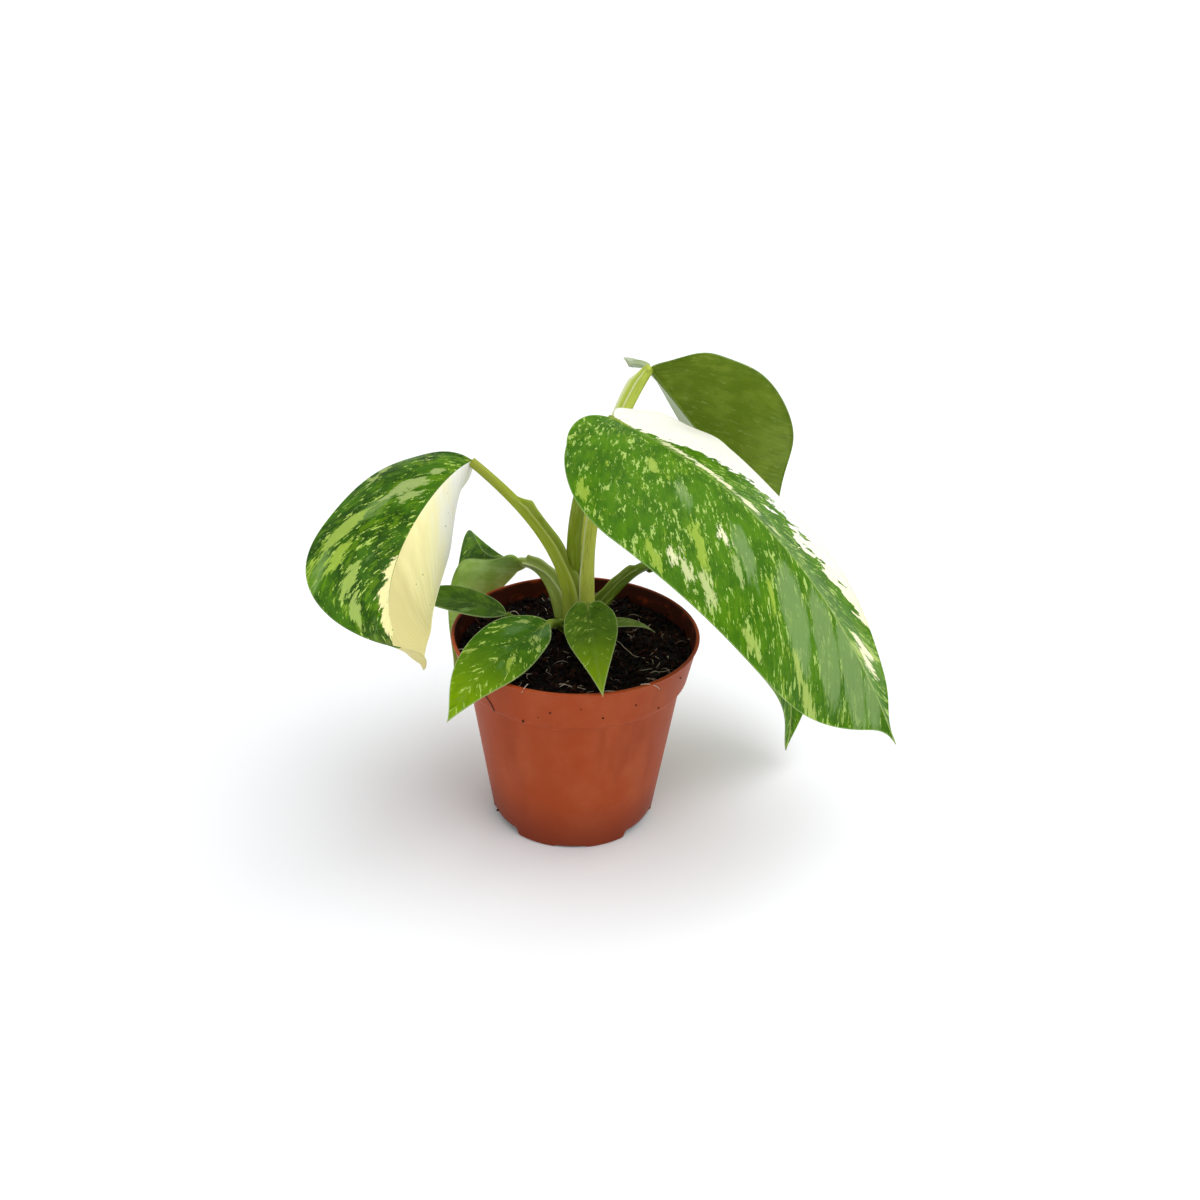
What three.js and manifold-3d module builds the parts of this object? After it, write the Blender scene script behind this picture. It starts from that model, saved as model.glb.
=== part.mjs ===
// A young variegated philodendron in a 12 cm plastic nursery pot, in millimetres with +Z up.
// The middle of the pot's base is the origin and the front of the plant faces -Y.

import * as THREE from 'three';
import { mergeVertices } from 'three/addons/utils/BufferGeometryUtils.js';
import Module from 'manifold-3d';

const wasm = await Module();
wasm.setup();

// Driving dimensions

const CLEARANCE = 0.3; // between any two neighbouring solids
const SINK = 0.5; // how far fused shapes reach into each other

const POT = {
  height: 100,
  rimRadius: 60,
  collarHeight: 21,
  collarFootRadius: 55.4,
  stepHeight: 2.6,
  bodyTopRadius: 52.4,
  baseRadius: 40.5,
  wall: 1.4,
  lip: 0.5,
  floorThickness: 1.5,
  segments: 60,
};

const DRAIN = {
  count: 3,
  firstAngle: 60, // degrees from the front
  spreadAngle: 38,
  height: 3.5,
  innerRadius: 32,
  roof: 1.4,
  holeRadius: 3.6,
  shallowHeight: 0.8,
  shallowSpread: 22,
};

const SOIL = {
  level: 91.5,
  moundHeight: 3,
  moundSpread: 16,
  relief: 1.1,
  rings: 10,
  segments: 48,
  floorStep: 31,
};

const STEM = {
  x: 0,
  y: 11,
  rootZ: 62,
  rootRadius: 3.5,
  collarZ: 98,
  collarRadius: 7.4,
  coreRadius: 4.6,
  topZ: 105,
  segments: 20,
};

const BLADE = {
  thickness: 0.9,
  marginThickness: 0.66,
  ridge: 1.3, // the midrib below the blade, at its base
};

// The outline every blade grows from: shares of its length (the lobe of each half, widest, shoulder, flank,
// tip, sweep) and of its half width (lobeWidth, tipWidth)
const HEART = {
  lobe: [0.08, 0.08],
  lobeWidth: 0.6,
  widest: 0.36,
  shoulder: 0.24,
  flank: 0.3,
  tip: 0.1,
  tipWidth: 0.09,
  sweep: 0.55,
};

// Each leaf: the midrib as a cubic curve; the way its upper face looks at base and tip, where the longer of
// the two arrows holds on further along the leaf; and for the two halves (the first is on the left when the
// tip hangs towards the viewer) the half width, the fold at the midrib and the curl across the half, in
// degrees at base and tip. A petiole's sheath wing starts at its width and has the share top of it where
// it ends
const LEAVES = {
  leaf_left: {
    midrib: [[-51, 18, 180], [-67, -5, 183], [-107, -47, 128], [-64, -72, 120]],
    facing: [[-0.06, -0.21, 1.01], [0.33, -0.1, -0.08]],
    halfWidth: [42, 35],
    fold: [[4, 2], [-90, 40]],
    curl: [[-36, -46], [-77, -24]],
    outline: { ...HEART, lobe: [0.04, 0.04], lobeWidth: 0.77, widest: 0.47, tip: -0.02, tipWidth: 0.14 },
    ripple: { height: 1, waves: 3, phase: 40 },
    petiole: {
      path: [[-2, 8, 98.5], [-1.5, 9, 132], [-20, 14, 155], [-51, 18, 180]],
      base: 4.5, middle: 3, end: 2.3,
      wing: { until: 0.76, width: 4.2, top: 0.75, side: -1 },
    },
    grid: [20, 8],
    colour: 0x5f7f2a,
  },
  leaf_right: {
    midrib: [[16, 4, 208], [52, -20, 198], [103, -54, 185], [154, -37, 63]],
    facing: [[0.1, 0.06, 1.1], [0.1, -0.27, 0.1]],
    halfWidth: [64, 51],
    fold: [[10, -3], [-3, -43]],
    curl: [[-59, -11], [-3, 31]],
    outline: { ...HEART, lobe: [0.12, 0.12], lobeWidth: 0.56, widest: 0.28, shoulder: 0.16, flank: 0.73 },
    ripple: { height: 0.6, waves: 5, phase: 0 },
    petiole: {
      path: [[0, 17, 98.5], [-3, 14, 133], [-5, 8, 172], [16, 4, 208]],
      base: 4.2, middle: 3.5, end: 3.1,
      wing: { until: 0.3, width: 2, top: 0.7, side: 1 },
    },
    grid: [24, 8],
    colour: 0x4f7a22,
  },
  leaf_back: {
    midrib: [[33, 64, 213], [34, 64, 212], [68, 64, 170], [106, 105, 108]],
    facing: [[0.76, 1.05, 0.46], [-0.17, 0.31, -0.16]],
    halfWidth: [53, 64],
    fold: [[-1, 1], [27, 76]],
    curl: [[0, 0], [0, 0]],
    outline: { ...HEART, lobe: [-0.02, 0.13], lobeWidth: 0.48, widest: 0.4, flank: 0.32, tip: 0, tipWidth: 0.05 },
    ripple: { height: 0.8, waves: 4, phase: 90 },
    petiole: {
      path: [[5, 10, 98.5], [4, 13, 130], [3, 34, 172], [33, 64, 213]],
      base: 4.8, middle: 3.3, end: 2.5,
      wing: { until: 1, width: 2.4, top: 1.4, side: 1 },
    },
    grid: [20, 7],
    colour: 0x55772c,
  },
  leaf_low_right: {
    midrib: [[36, 47, 114], [59, 58, 113], [125, 52, 81], [113, 34, 12]],
    facing: [[0.02, 0.15, 0.92], [0.78, -0.67, 0.17]],
    halfWidth: [36, 37],
    fold: [[14, 15], [4, 16]],
    curl: [[-19, -13], [-17, -19]],
    outline: { ...HEART, lobe: [0.07, 0.04], lobeWidth: 0.62, tip: 0.05 },
    ripple: { height: 0.8, waves: 4, phase: 0 },
    petiole: {
      path: [[8, 16, 99.5], [15, 18, 110], [25, 36, 116], [36, 47, 114]],
      base: 3.6, middle: 3, end: 2.6,
      wing: { until: 0.8, width: 2.4, top: 0.7, side: 1 },
    },
    grid: [18, 6],
    colour: 0x4b7527,
  },
  leaf_rear_left: {
    midrib: [[-30, 59, 108], [-31, 54, 102], [-56, 64, 82], [-61, 10, 70]],
    facing: [[-0.58, -0.32, 0.47], [-0.4, 0.46, 0.07]],
    halfWidth: [35, 31],
    fold: [[54, 41], [62, 56]],
    curl: [[0, 0], [0, 0]],
    outline: { ...HEART, lobe: [0.07, 0.07], lobeWidth: 0.59, shoulder: 0.22, flank: 0.25 },
    ripple: { height: 0.5, waves: 3, phase: 0 },
    petiole: {
      path: [[-7, 16, 99.5], [-10, 18, 114], [-17, 36, 119], [-30, 59, 108]],
      base: 4, middle: 3.4, end: 2.6,
      wing: { until: 0.9, width: 3.6, top: 0.9, side: -1 },
    },
    grid: [16, 6],
    colour: 0x6f8f45,
  },
  leaf_narrow_left: {
    midrib: [[-34, 4, 106], [-46, 4, 111], [-66, 6, 115], [-86, 8, 113]],
    facing: [[0, -0.1, 1], [-0.1, -0.1, 1]],
    halfWidth: [11, 11],
    fold: [[5, 5], [5, 5]],
    curl: [[0, 0], [0, 0]],
    outline: { ...HEART, lobe: [-0.05, -0.05], lobeWidth: 0.5, widest: 0.5, shoulder: 0.3, flank: 0.25 },
    ripple: { height: 0.3, waves: 2, phase: 0 },
    petiole: {
      path: [[-6.5, 9.5, 99.5], [-15, 6, 99], [-27, 4, 101], [-34, 4, 106]],
      base: 2.2, middle: 1.9, end: 1.6,
      wing: { until: 0.4, width: 0.8, top: 0.7, side: 1 },
    },
    grid: [12, 4],
    colour: 0x557d28,
  },
  leaf_front_left: {
    midrib: [[-12, -20, 115], [-31, -31, 108], [-44, -49, 105], [-56, -67, 88]],
    facing: [[-0.22, -0.22, 0.92], [-0.39, -0.7, 0.5]],
    halfWidth: [20, 18],
    fold: [[2, -1], [15, -1]],
    curl: [[3, -14], [-2, -13]],
    outline: { ...HEART, lobe: [-0.04, -0.04], lobeWidth: 0.54, tipWidth: 0.11 },
    ripple: { height: 0.4, waves: 3, phase: 0 },
    petiole: {
      path: [[-6, 3, 100], [-8, -1, 105], [-9, -12, 111], [-12, -20, 115]],
      base: 2.6, middle: 2.2, end: 1.8,
      wing: { until: 0.5, width: 1, top: 0.7, side: -1 },
    },
    grid: [14, 5],
    colour: 0x4d7a1e,
  },
  leaf_front: {
    midrib: [[6, -13, 121], [6, -24, 116], [9, -45, 118], [14, -67, 103]],
    facing: [[-0.08, -0.38, 0.93], [0.02, -0.79, 0.51]],
    halfWidth: [12, 13],
    fold: [[0, 5], [3, 4]],
    curl: [[-15, -7], [-7, -3]],
    outline: { ...HEART, lobe: [0.13, 0.13], lobeWidth: 0.62, widest: 0.34 },
    ripple: { height: 0.3, waves: 3, phase: 0 },
    petiole: {
      path: [[2.5, 4.5, 99.5], [4, 1, 108], [5, -7, 116], [6, -13, 121]],
      base: 2.6, middle: 2.1, end: 1.7,
      wing: { until: 0.4, width: 1, top: 0.7, side: 1 },
    },
    grid: [14, 5],
    colour: 0x4d7727,
  },
};

// The small scale leaf that lies over the soil on the right of the crown
const CATAPHYLL = {
  midrib: [[8, 6, 100], [18, 3, 105], [31, 4, 105], [39, 4, 98]],
  facing: [[0, -0.3, 1], [0.3, -0.3, 1]],
  halfWidth: [3.4, 3.4],
  fold: [[10, 0], [10, 0]],
  curl: [[-25, -25], [-25, -25]],
  outline: { ...HEART, lobe: [0, 0], lobeWidth: 0.9, widest: 0.3, tip: 0.2 },
  ripple: { height: 0, waves: 1, phase: 0 },
  grid: [10, 3],
  colour: 0x8ea85a,
};

const COLOURS = { pot: 0x8f432b, soil: 0x1c1411, stem: 0x7f9140 };
const ROUGHNESS = { pot: 0.5, soil: 0.95, stem: 0.5, leaf: 0.4 };

// Small vector and curve helpers

const radians = THREE.MathUtils.degToRad;
const mix = THREE.MathUtils.lerp;
const vector = ([x, y, z]) => new THREE.Vector3(x, y, z);

function cubicShares(t) {
  const r = 1 - t;
  return [r * r * r, 3 * t * r * r, 3 * t * t * r, t * t * t];
}

function onCubic(points, t) {
  const share = cubicShares(t);
  return points.reduce((sum, p, k) => sum.addScaledVector(p, share[k]), new THREE.Vector3());
}

function alongCubic(points, t) {
  const near = 0.001;
  const ahead = onCubic(points, Math.min(1, t + near));
  return ahead.sub(onCubic(points, Math.max(0, t - near))).normalize();
}

function lengthOf(points, steps = 60) {
  let length = 0;
  for (let k = 1; k <= steps; k++) {
    length += onCubic(points, k / steps).distanceTo(onCubic(points, (k - 1) / steps));
  }
  return length;
}

function triangleArea(a, b, c) {
  return b.clone().sub(a).cross(c.clone().sub(a)).length() / 2;
}

// A closed body from points and triangles, turned to face outwards, as a solid for joining and cutting
function solidFrom(points, triangles) {
  const corner = triangles.map((triangle) => triangle.map((index) => points[index]));
  const volume = corner.reduce((sum, [a, b, c]) => sum + a.dot(b.clone().cross(c)), 0);
  const facing = volume > 0 ? triangles : triangles.map(([a, b, c]) => [a, c, b]);
  const kept = facing.filter((t) => triangleArea(...t.map((index) => points[index])) > 0);
  return new wasm.Manifold(new wasm.Mesh({
    numProp: 3,
    vertProperties: new Float32Array(points.flatMap((p) => [p.x, p.y, p.z])),
    triVerts: new Uint32Array(kept.flat()),
  }));
}

function solidOf(geometry) {
  const bare = geometry.clone();
  bare.deleteAttribute('normal');
  bare.deleteAttribute('uv');
  const welded = mergeVertices(bare, 1e-4);
  return new wasm.Manifold(new wasm.Mesh({
    numProp: 3,
    vertProperties: new Float32Array(welded.attributes.position.array),
    triVerts: new Uint32Array(welded.index.array),
  }));
}

function largestBody(solid) {
  return solid.decompose().reduce((best, body) => (body.volume() > best.volume() ? body : best));
}

function meshOf(name, solid, colour, roughness) {
  const { vertProperties, triVerts } = solid.getMesh();
  const geometry = new THREE.BufferGeometry();
  geometry.setAttribute('position', new THREE.BufferAttribute(new Float32Array(vertProperties), 3));
  geometry.setIndex(new THREE.BufferAttribute(new Uint32Array(triVerts), 1));
  geometry.computeVertexNormals();
  const mesh = new THREE.Mesh(geometry, new THREE.MeshStandardMaterial({ color: colour, roughness, metalness: 0 }));
  mesh.name = name;
  return mesh;
}

// Rings of points joined into a closed tube, with a fan over each end
function tubeFromRings(rings) {
  const sides = rings[0].length;
  const points = rings.flat();
  const triangles = [];
  for (let ring = 0; ring + 1 < rings.length; ring++) {
    for (let side = 0; side < sides; side++) {
      const next = (side + 1) % sides;
      const [a, b] = [ring * sides + side, ring * sides + next];
      triangles.push([a, b, b + sides], [a, b + sides, a + sides]);
    }
  }
  for (const [ring, flip] of [[0, true], [rings.length - 1, false]]) {
    const centre = rings[ring].reduce((sum, p) => sum.add(p), new THREE.Vector3()).divideScalar(sides);
    points.push(centre);
    for (let side = 0; side < sides; side++) {
      const [a, b] = [ring * sides + side, ring * sides + ((side + 1) % sides)];
      triangles.push(flip ? [points.length - 1, b, a] : [points.length - 1, a, b]);
    }
  }
  return solidFrom(points, triangles);
}

// A turned body from a closed profile of [radius, height]
function turned(profile, segments) {
  const closed = [...profile, profile[0]].map(([radius, height]) => new THREE.Vector2(radius, height));
  const geometry = new THREE.LatheGeometry(closed, segments);
  geometry.rotateX(Math.PI / 2);
  const { position } = geometry.attributes;
  const points = Array.from({ length: position.count }, (_, k) => new THREE.Vector3().fromBufferAttribute(position, k));
  const bare = new THREE.BufferGeometry().setFromPoints(points);
  bare.setIndex(geometry.index);
  const solid = solidOf(bare);
  return solid.volume() > 0 ? solid : solidOf(flipped(bare));
}

function flipped(geometry) {
  const turnedOver = geometry.clone();
  const { array } = turnedOver.index;
  for (let k = 0; k < array.length; k += 3) {
    [array[k + 1], array[k + 2]] = [array[k + 2], array[k + 1]];
  }
  return turnedOver;
}

// A block between two radii and two heights, over a spread of degrees about an angle from the front
function ringSector(inner, outer, low, high, angle, spread) {
  const steps = 6;
  const rings = Array.from({ length: steps + 1 }, (_, k) => {
    const turn = radians(angle + spread * (k / steps - 0.5) - 90);
    return [[inner, low], [outer, low], [outer, high], [inner, high]]
      .map(([radius, z]) => new THREE.Vector3(radius * Math.cos(turn), radius * Math.sin(turn), z));
  });
  return tubeFromRings(rings);
}

// The pot

function potRadiusAt(z) {
  const stepTop = POT.height - POT.collarHeight;
  const stepFoot = stepTop - POT.stepHeight;
  if (z >= stepTop) {
    return mix(POT.collarFootRadius, POT.rimRadius, (z - stepTop) / POT.collarHeight);
  }
  if (z >= stepFoot) {
    return mix(POT.bodyTopRadius, POT.collarFootRadius, (z - stepFoot) / POT.stepHeight);
  }
  return mix(POT.baseRadius, POT.bodyTopRadius, z / stepFoot);
}

function potProfile() {
  const { height, collarHeight, stepHeight, wall, lip, floorThickness } = POT;
  const stepTop = height - collarHeight;
  const stepFoot = stepTop - stepHeight;
  const outside = [0, stepFoot, stepTop, height - 3 * lip].map((z) => [potRadiusAt(z), z]);
  const rim = [
    [POT.rimRadius + lip, height - 2 * lip],
    [POT.rimRadius + lip, height - lip],
    [POT.rimRadius, height],
    [POT.rimRadius - wall + lip, height],
    [POT.rimRadius - wall, height - lip],
  ];
  const inside = [stepTop, stepFoot, floorThickness + lip].map((z) => [potRadiusAt(z) - wall, z]);
  const floor = [[potRadiusAt(0) - wall - lip, floorThickness], [0, floorThickness], [0, 0]];
  return [...outside, ...rim, ...inside, ...floor];
}

function drainHole(angle) {
  const radius = (DRAIN.innerRadius + POT.baseRadius) / 2 - 1;
  const turn = radians(angle - 90);
  const rings = [DRAIN.height - SINK, DRAIN.height + DRAIN.roof + SINK].map((z) => {
    return Array.from({ length: 16 }, (_, k) => {
      const around = (2 * Math.PI * k) / 16;
      return new THREE.Vector3(
        radius * Math.cos(turn) + DRAIN.holeRadius * Math.cos(around),
        radius * Math.sin(turn) + DRAIN.holeRadius * Math.sin(around),
        z,
      );
    });
  });
  return tubeFromRings(rings);
}

// Each drainage notch in the foot opens into a raised pocket whose roof is pierced by a hole
function buildPot() {
  const { innerRadius, height, roof, spreadAngle, shallowHeight, shallowSpread } = DRAIN;
  const wallMiddle = POT.baseRadius - POT.wall / 2;
  const wallSpread = radians(spreadAngle) * innerRadius;
  const pocketSpread = spreadAngle * (1 + (2 * roof) / wallSpread);
  let pot = turned(potProfile(), POT.segments);
  for (let k = 0; k < DRAIN.count; k++) {
    const angle = DRAIN.firstAngle + (k * 360) / DRAIN.count;
    const shallow = angle - DRAIN.firstAngle;
    const outside = POT.baseRadius + 3;
    pot = pot.add(ringSector(innerRadius - roof, wallMiddle, SINK, height + roof, angle, pocketSpread));
    pot = pot.subtract(ringSector(innerRadius, outside, -1, height, angle, spreadAngle));
    pot = pot.subtract(drainHole(angle));
    pot = pot.subtract(ringSector(wallMiddle - POT.wall, outside, -1, shallowHeight, shallow, shallowSpread));
  }
  return pot;
}

// The soil

// Soft bumps of a few sizes, the same at every build
function soilRelief(x, y) {
  const coarse = Math.sin(x / 5.1 + 1.3) * Math.cos(y / 4.3 - 0.7);
  const fine = Math.sin(x / 2.3 - y / 3.1) * Math.cos(y / 1.9 + x / 4.7 + 2.1);
  return SOIL.relief * (0.6 * coarse + 0.4 * fine);
}

function soilHeight(x, y) {
  const away = Math.hypot(x - STEM.x, y - STEM.y) / SOIL.moundSpread;
  return SOIL.level + SOIL.moundHeight * Math.exp(-away * away) + soilRelief(x, y);
}

function buildSoil() {
  const gap = POT.wall + CLEARANCE;
  const floor = POT.floorThickness + CLEARANCE;
  const ledge = DRAIN.height + DRAIN.roof + CLEARANCE;
  const stepTop = POT.height - POT.collarHeight;
  const stepFoot = stepTop - POT.stepHeight;
  const innerAt = (z) => potRadiusAt(z) - gap;
  const shell = [
    [SOIL.floorStep - DRAIN.roof - CLEARANCE, floor],
    [SOIL.floorStep - DRAIN.roof - CLEARANCE, ledge],
    [innerAt(ledge), ledge],
    [innerAt(stepFoot), stepFoot],
    [innerAt(stepTop), stepTop + CLEARANCE],
  ];
  const edge = innerAt(SOIL.level) - 0.2;
  const top = Array.from({ length: SOIL.rings }, (_, k) => edge * (1 - k / SOIL.rings));
  const around = Array.from({ length: SOIL.segments }, (_, k) => (2 * Math.PI * k) / SOIL.segments);
  const rings = [
    ...shell.map(([radius, z]) => around.map((turn) => {
      return new THREE.Vector3(radius * Math.cos(turn), radius * Math.sin(turn), z);
    })),
    ...top.map((radius) => around.map((turn) => {
      const [x, y] = [radius * Math.cos(turn), radius * Math.sin(turn)];
      return new THREE.Vector3(x, y, soilHeight(x, y));
    })),
  ];
  return tubeFromRings(rings).subtract(stemBody(CLEARANCE));
}

// The stem: a short rootstock whose rounded top carries the leaf bases

function stemBody(grow) {
  const { rootZ, rootRadius, collarZ, collarRadius, coreRadius, topZ } = STEM;
  const stations = [
    [rootZ, rootRadius * 0.6],
    [rootZ + 3, rootRadius],
    [rootZ + 14, rootRadius * 1.3],
    [collarZ - 12, collarRadius * 0.9],
    [collarZ - 5, collarRadius],
    [collarZ - 1, collarRadius],
    [collarZ, collarRadius - 1],
    [collarZ + 0.6, coreRadius],
    [topZ - 2, coreRadius * 0.85],
    [topZ, coreRadius * 0.35],
  ];
  const last = stations.length - 1;
  const rings = stations.map(([z, radius], k) => {
    const height = z + (k === 0 ? -grow : 0) + (k === last ? grow : 0);
    return Array.from({ length: STEM.segments }, (_, side) => {
      const turn = (2 * Math.PI * side) / STEM.segments;
      const wide = radius + grow;
      return new THREE.Vector3(STEM.x + wide * Math.cos(turn), STEM.y + wide * Math.sin(turn), height);
    });
  });
  return tubeFromRings(rings);
}

// The leaves

// One point of the flat outline: how far along the midrib and how far out, for a share u of the margin
function outlineAt(u, length, halfWidth, shape, half) {
  const { lobe, lobeWidth, widest, shoulder, flank, tip, tipWidth } = shape;
  const baseToWidest = [[0, 0], [-lobe[half], lobeWidth], [widest - shoulder, 1], [widest, 1]];
  const widestToTip = [[widest, 1], [widest + flank, 1], [1 - tip, tipWidth], [1, 0]];
  const [points, t] = u < 0.5 ? [baseToWidest, 2 * u] : [widestToTip, 2 * u - 1];
  const share = cubicShares(t);
  const sum = (axis) => points.reduce((total, p, k) => total + p[axis] * share[k], 0);
  return [length * sum(0), halfWidth * sum(1)];
}

function bladeFrame(leaf) {
  const points = leaf.midrib.map(vector);
  const facing = leaf.facing.map(vector);
  const length = lengthOf(points);
  return { points, facing, length };
}

// A point of the blade's middle surface and its normal, for shares u along the margin and v from midrib
// to margin of one half: a straight run on the flat outline is bent over an arc across the half
function bladePoint(leaf, frame, half, u, v) {
  const { points, facing, length } = frame;
  const { widest, sweep } = leaf.outline;
  const power = Math.log(Math.max(0.05, widest - (sweep * leaf.halfWidth[0]) / length)) / Math.log(0.5);
  const rib = length * u ** power;
  const [edgeAlong, edgeOut] = outlineAt(u, length, leaf.halfWidth[half], leaf.outline, half);
  const along = mix(rib, edgeAlong, v);
  const out = edgeOut * v;
  const t = THREE.MathUtils.clamp(along / length, 0, 1);
  const onRib = onCubic(points, t);
  const forward = alongCubic(points, t);
  if (along < 0) {
    onRib.addScaledVector(forward, along);
  }
  const up = facing[0].clone().lerp(facing[1], t);
  up.addScaledVector(forward, -up.dot(forward)).normalize();
  const outward = forward.clone().cross(up).multiplyScalar(half === 0 ? 1 : -1);
  const fold = radians(mix(...leaf.fold[half], t));
  const bend = radians(mix(...leaf.curl[half], t)) / leaf.halfWidth[half];
  const curvature = Math.abs(bend) < 1e-5 ? 1e-5 : bend;
  const turn = fold + curvature * out;
  const reach = (Math.sin(turn) - Math.sin(fold)) / curvature;
  const rise = (Math.cos(fold) - Math.cos(turn)) / curvature;
  const { height, waves, phase } = leaf.ripple;
  const wave = height * v * v * Math.sin(2 * Math.PI * waves * u + radians(phase));
  const normal = up.clone().multiplyScalar(Math.cos(turn)).addScaledVector(outward, -Math.sin(turn));
  const point = onRib.addScaledVector(outward, reach).addScaledVector(up, rise).addScaledVector(normal, wave);
  return { point, normal };
}

// The blade as a solid: the middle surface moved half a thickness to each side, with a ridge below the
// midrib, split into the same triangles on both faces and closed by a wall along the margin
function bladeSolid(leaf) {
  const frame = bladeFrame(leaf);
  const [rows, columns] = leaf.grid;
  const wide = 2 * columns + 1;
  const points = [];
  const addPair = (u, column) => {
    const half = column >= 0 ? 0 : 1;
    const v = Math.abs(column) / columns;
    const here = bladePoint(leaf, frame, half, u, v);
    const normal = column === 0
      ? here.normal.clone().add(bladePoint(leaf, frame, 1, u, v).normal).normalize()
      : here.normal;
    const thickness = mix(BLADE.thickness, BLADE.marginThickness, v);
    const ridge = column === 0 ? BLADE.ridge * (1 - u) * Math.min(1, frame.length / 80) : 0;
    points.push(here.point.clone().addScaledVector(normal, thickness / 2));
    points.push(here.point.clone().addScaledVector(normal, -thickness / 2 - ridge));
  };
  addPair(0, 0);
  for (let row = 1; row < rows; row++) {
    for (let column = -columns; column <= columns; column++) {
      addPair(row / rows, column);
    }
  }
  addPair(1, 0);
  const tip = 1 + (rows - 1) * wide;
  const at = (row, column) => 1 + (row - 1) * wide + column + columns;
  const sheet = [];
  for (let column = -columns; column < columns; column++) {
    sheet.push([0, at(1, column), at(1, column + 1)]);
    sheet.push([tip, at(rows - 1, column + 1), at(rows - 1, column)]);
    for (let row = 1; row + 1 < rows; row++) {
      const [a, b, c, d] = [at(row, column), at(row + 1, column), at(row + 1, column + 1), at(row, column + 1)];
      sheet.push(...(column < 0 ? [[a, b, d], [b, c, d]] : [[a, b, c], [a, c, d]]));
    }
  }
  const rowNumbers = Array.from({ length: rows - 1 }, (_, k) => k + 1);
  const margin = [
    0,
    ...rowNumbers.map((row) => at(row, -columns)),
    tip,
    ...rowNumbers.toReversed().map((row) => at(row, columns)),
  ];
  const triangles = [
    ...sheet.map(([a, b, c]) => [2 * a, 2 * b, 2 * c]),
    ...sheet.map(([a, b, c]) => [2 * a + 1, 2 * c + 1, 2 * b + 1]),
  ];
  margin.forEach((a, k) => {
    const b = margin[(k + 1) % margin.length];
    triangles.push([2 * a, 2 * a + 1, 2 * b + 1], [2 * a, 2 * b + 1, 2 * b]);
  });
  return solidFrom(points, triangles);
}

// The petiole from the crown to the blade, oval in section, with a sheath wing along its lower part
function petioleSolid({ path, base, middle, end, wing }, grow = 0) {
  const points = path.map(vector);
  const steps = lengthOf(points) > 60 ? 14 : 7;
  const sides = lengthOf(points) > 60 ? 12 : 10;
  const back = new THREE.Vector3(0, 1, 0);
  const rings = Array.from({ length: steps + 1 }, (_, k) => {
    const t = k / steps;
    const centre = onCubic(points, t);
    const forward = alongCubic(points, t);
    const side = forward.clone().cross(back).normalize();
    const deep = side.clone().cross(forward);
    const radius = (t < 0.35 ? mix(base, middle, t / 0.35) : mix(middle, end, (t - 0.35) / 0.65)) + grow;
    const wingShare = THREE.MathUtils.clamp((wing.until - t) / 0.08, 0, 1);
    const spread = wing.width * wingShare * mix(1, wing.top, t / wing.until);
    return Array.from({ length: sides }, (_, index) => {
      const turn = (2 * Math.PI * index) / sides;
      const onWingSide = Math.cos(turn) * wing.side > 0;
      const across = Math.cos(turn) * (radius + (onWingSide ? spread : 0));
      return centre.clone().addScaledVector(side, across).addScaledVector(deep, 0.88 * radius * Math.sin(turn));
    });
  });
  return tubeFromRings(rings);
}

// The swelling where the petiole meets the blade: a short taper that runs on below the midrib
function petioleToBlade(leaf) {
  const frame = bladeFrame(leaf);
  const radius = leaf.petiole.end;
  const reach = Math.min(0.2, (5 * radius) / frame.length);
  const stations = [[-0.15, 0.55], [0, 0.95], [0.25, 0.9], [0.6, 0.6], [1, 0.3]];
  const rings = stations.map(([share, size]) => {
    const t = Math.max(0, share * reach);
    const forward = alongCubic(frame.points, t);
    const up = frame.facing[0].clone().addScaledVector(forward, -frame.facing[0].dot(forward)).normalize();
    const side = forward.clone().cross(up);
    const wide = size * radius;
    const centre = onCubic(frame.points, t).addScaledVector(forward, Math.min(0, share) * 6 * radius);
    centre.addScaledVector(up, -0.75 * wide);
    return Array.from({ length: 10 }, (_, index) => {
      const turn = (2 * Math.PI * index) / 10;
      return centre.clone().addScaledVector(side, wide * Math.cos(turn)).addScaledVector(up, wide * Math.sin(turn));
    });
  });
  return tubeFromRings(rings);
}

function leafSolid(leaf) {
  return bladeSolid(leaf).add(petioleToBlade(leaf)).add(petioleSolid(leaf.petiole));
}

// The whole plant: each petiole stays clear of the stem and of the petioles placed before it

function build() {
  const plant = new THREE.Group();
  plant.name = 'potted_philodendron';
  plant.add(meshOf('pot', buildPot(), COLOURS.pot, ROUGHNESS.pot));
  plant.add(meshOf('soil', buildSoil(), COLOURS.soil, ROUGHNESS.soil));
  plant.add(meshOf('stem', stemBody(0), COLOURS.stem, ROUGHNESS.stem));
  let taken = stemBody(CLEARANCE);
  for (const [name, leaf] of Object.entries(LEAVES)) {
    const solid = largestBody(leafSolid(leaf).subtract(taken));
    plant.add(meshOf(name, solid, leaf.colour, ROUGHNESS.leaf));
    taken = taken.add(petioleSolid(leaf.petiole, CLEARANCE));
  }
  const scale = largestBody(bladeSolid(CATAPHYLL).subtract(taken));
  plant.add(meshOf('cataphyll', scale, CATAPHYLL.colour, ROUGHNESS.leaf));
  return plant;
}

export default build();
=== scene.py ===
"""The finished look of a young variegated philodendron in a 12 cm plastic nursery pot.

Sizes are in millimetres in the frame of the part: the middle of the pot's base is the origin, +Z is up
and the front of the plant faces -Y. Meshes are written in metres.
"""

import logging
import math
from dataclasses import dataclass, field
from enum import Enum

import bpy
import numpy as np
from mathutils import Matrix

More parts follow.
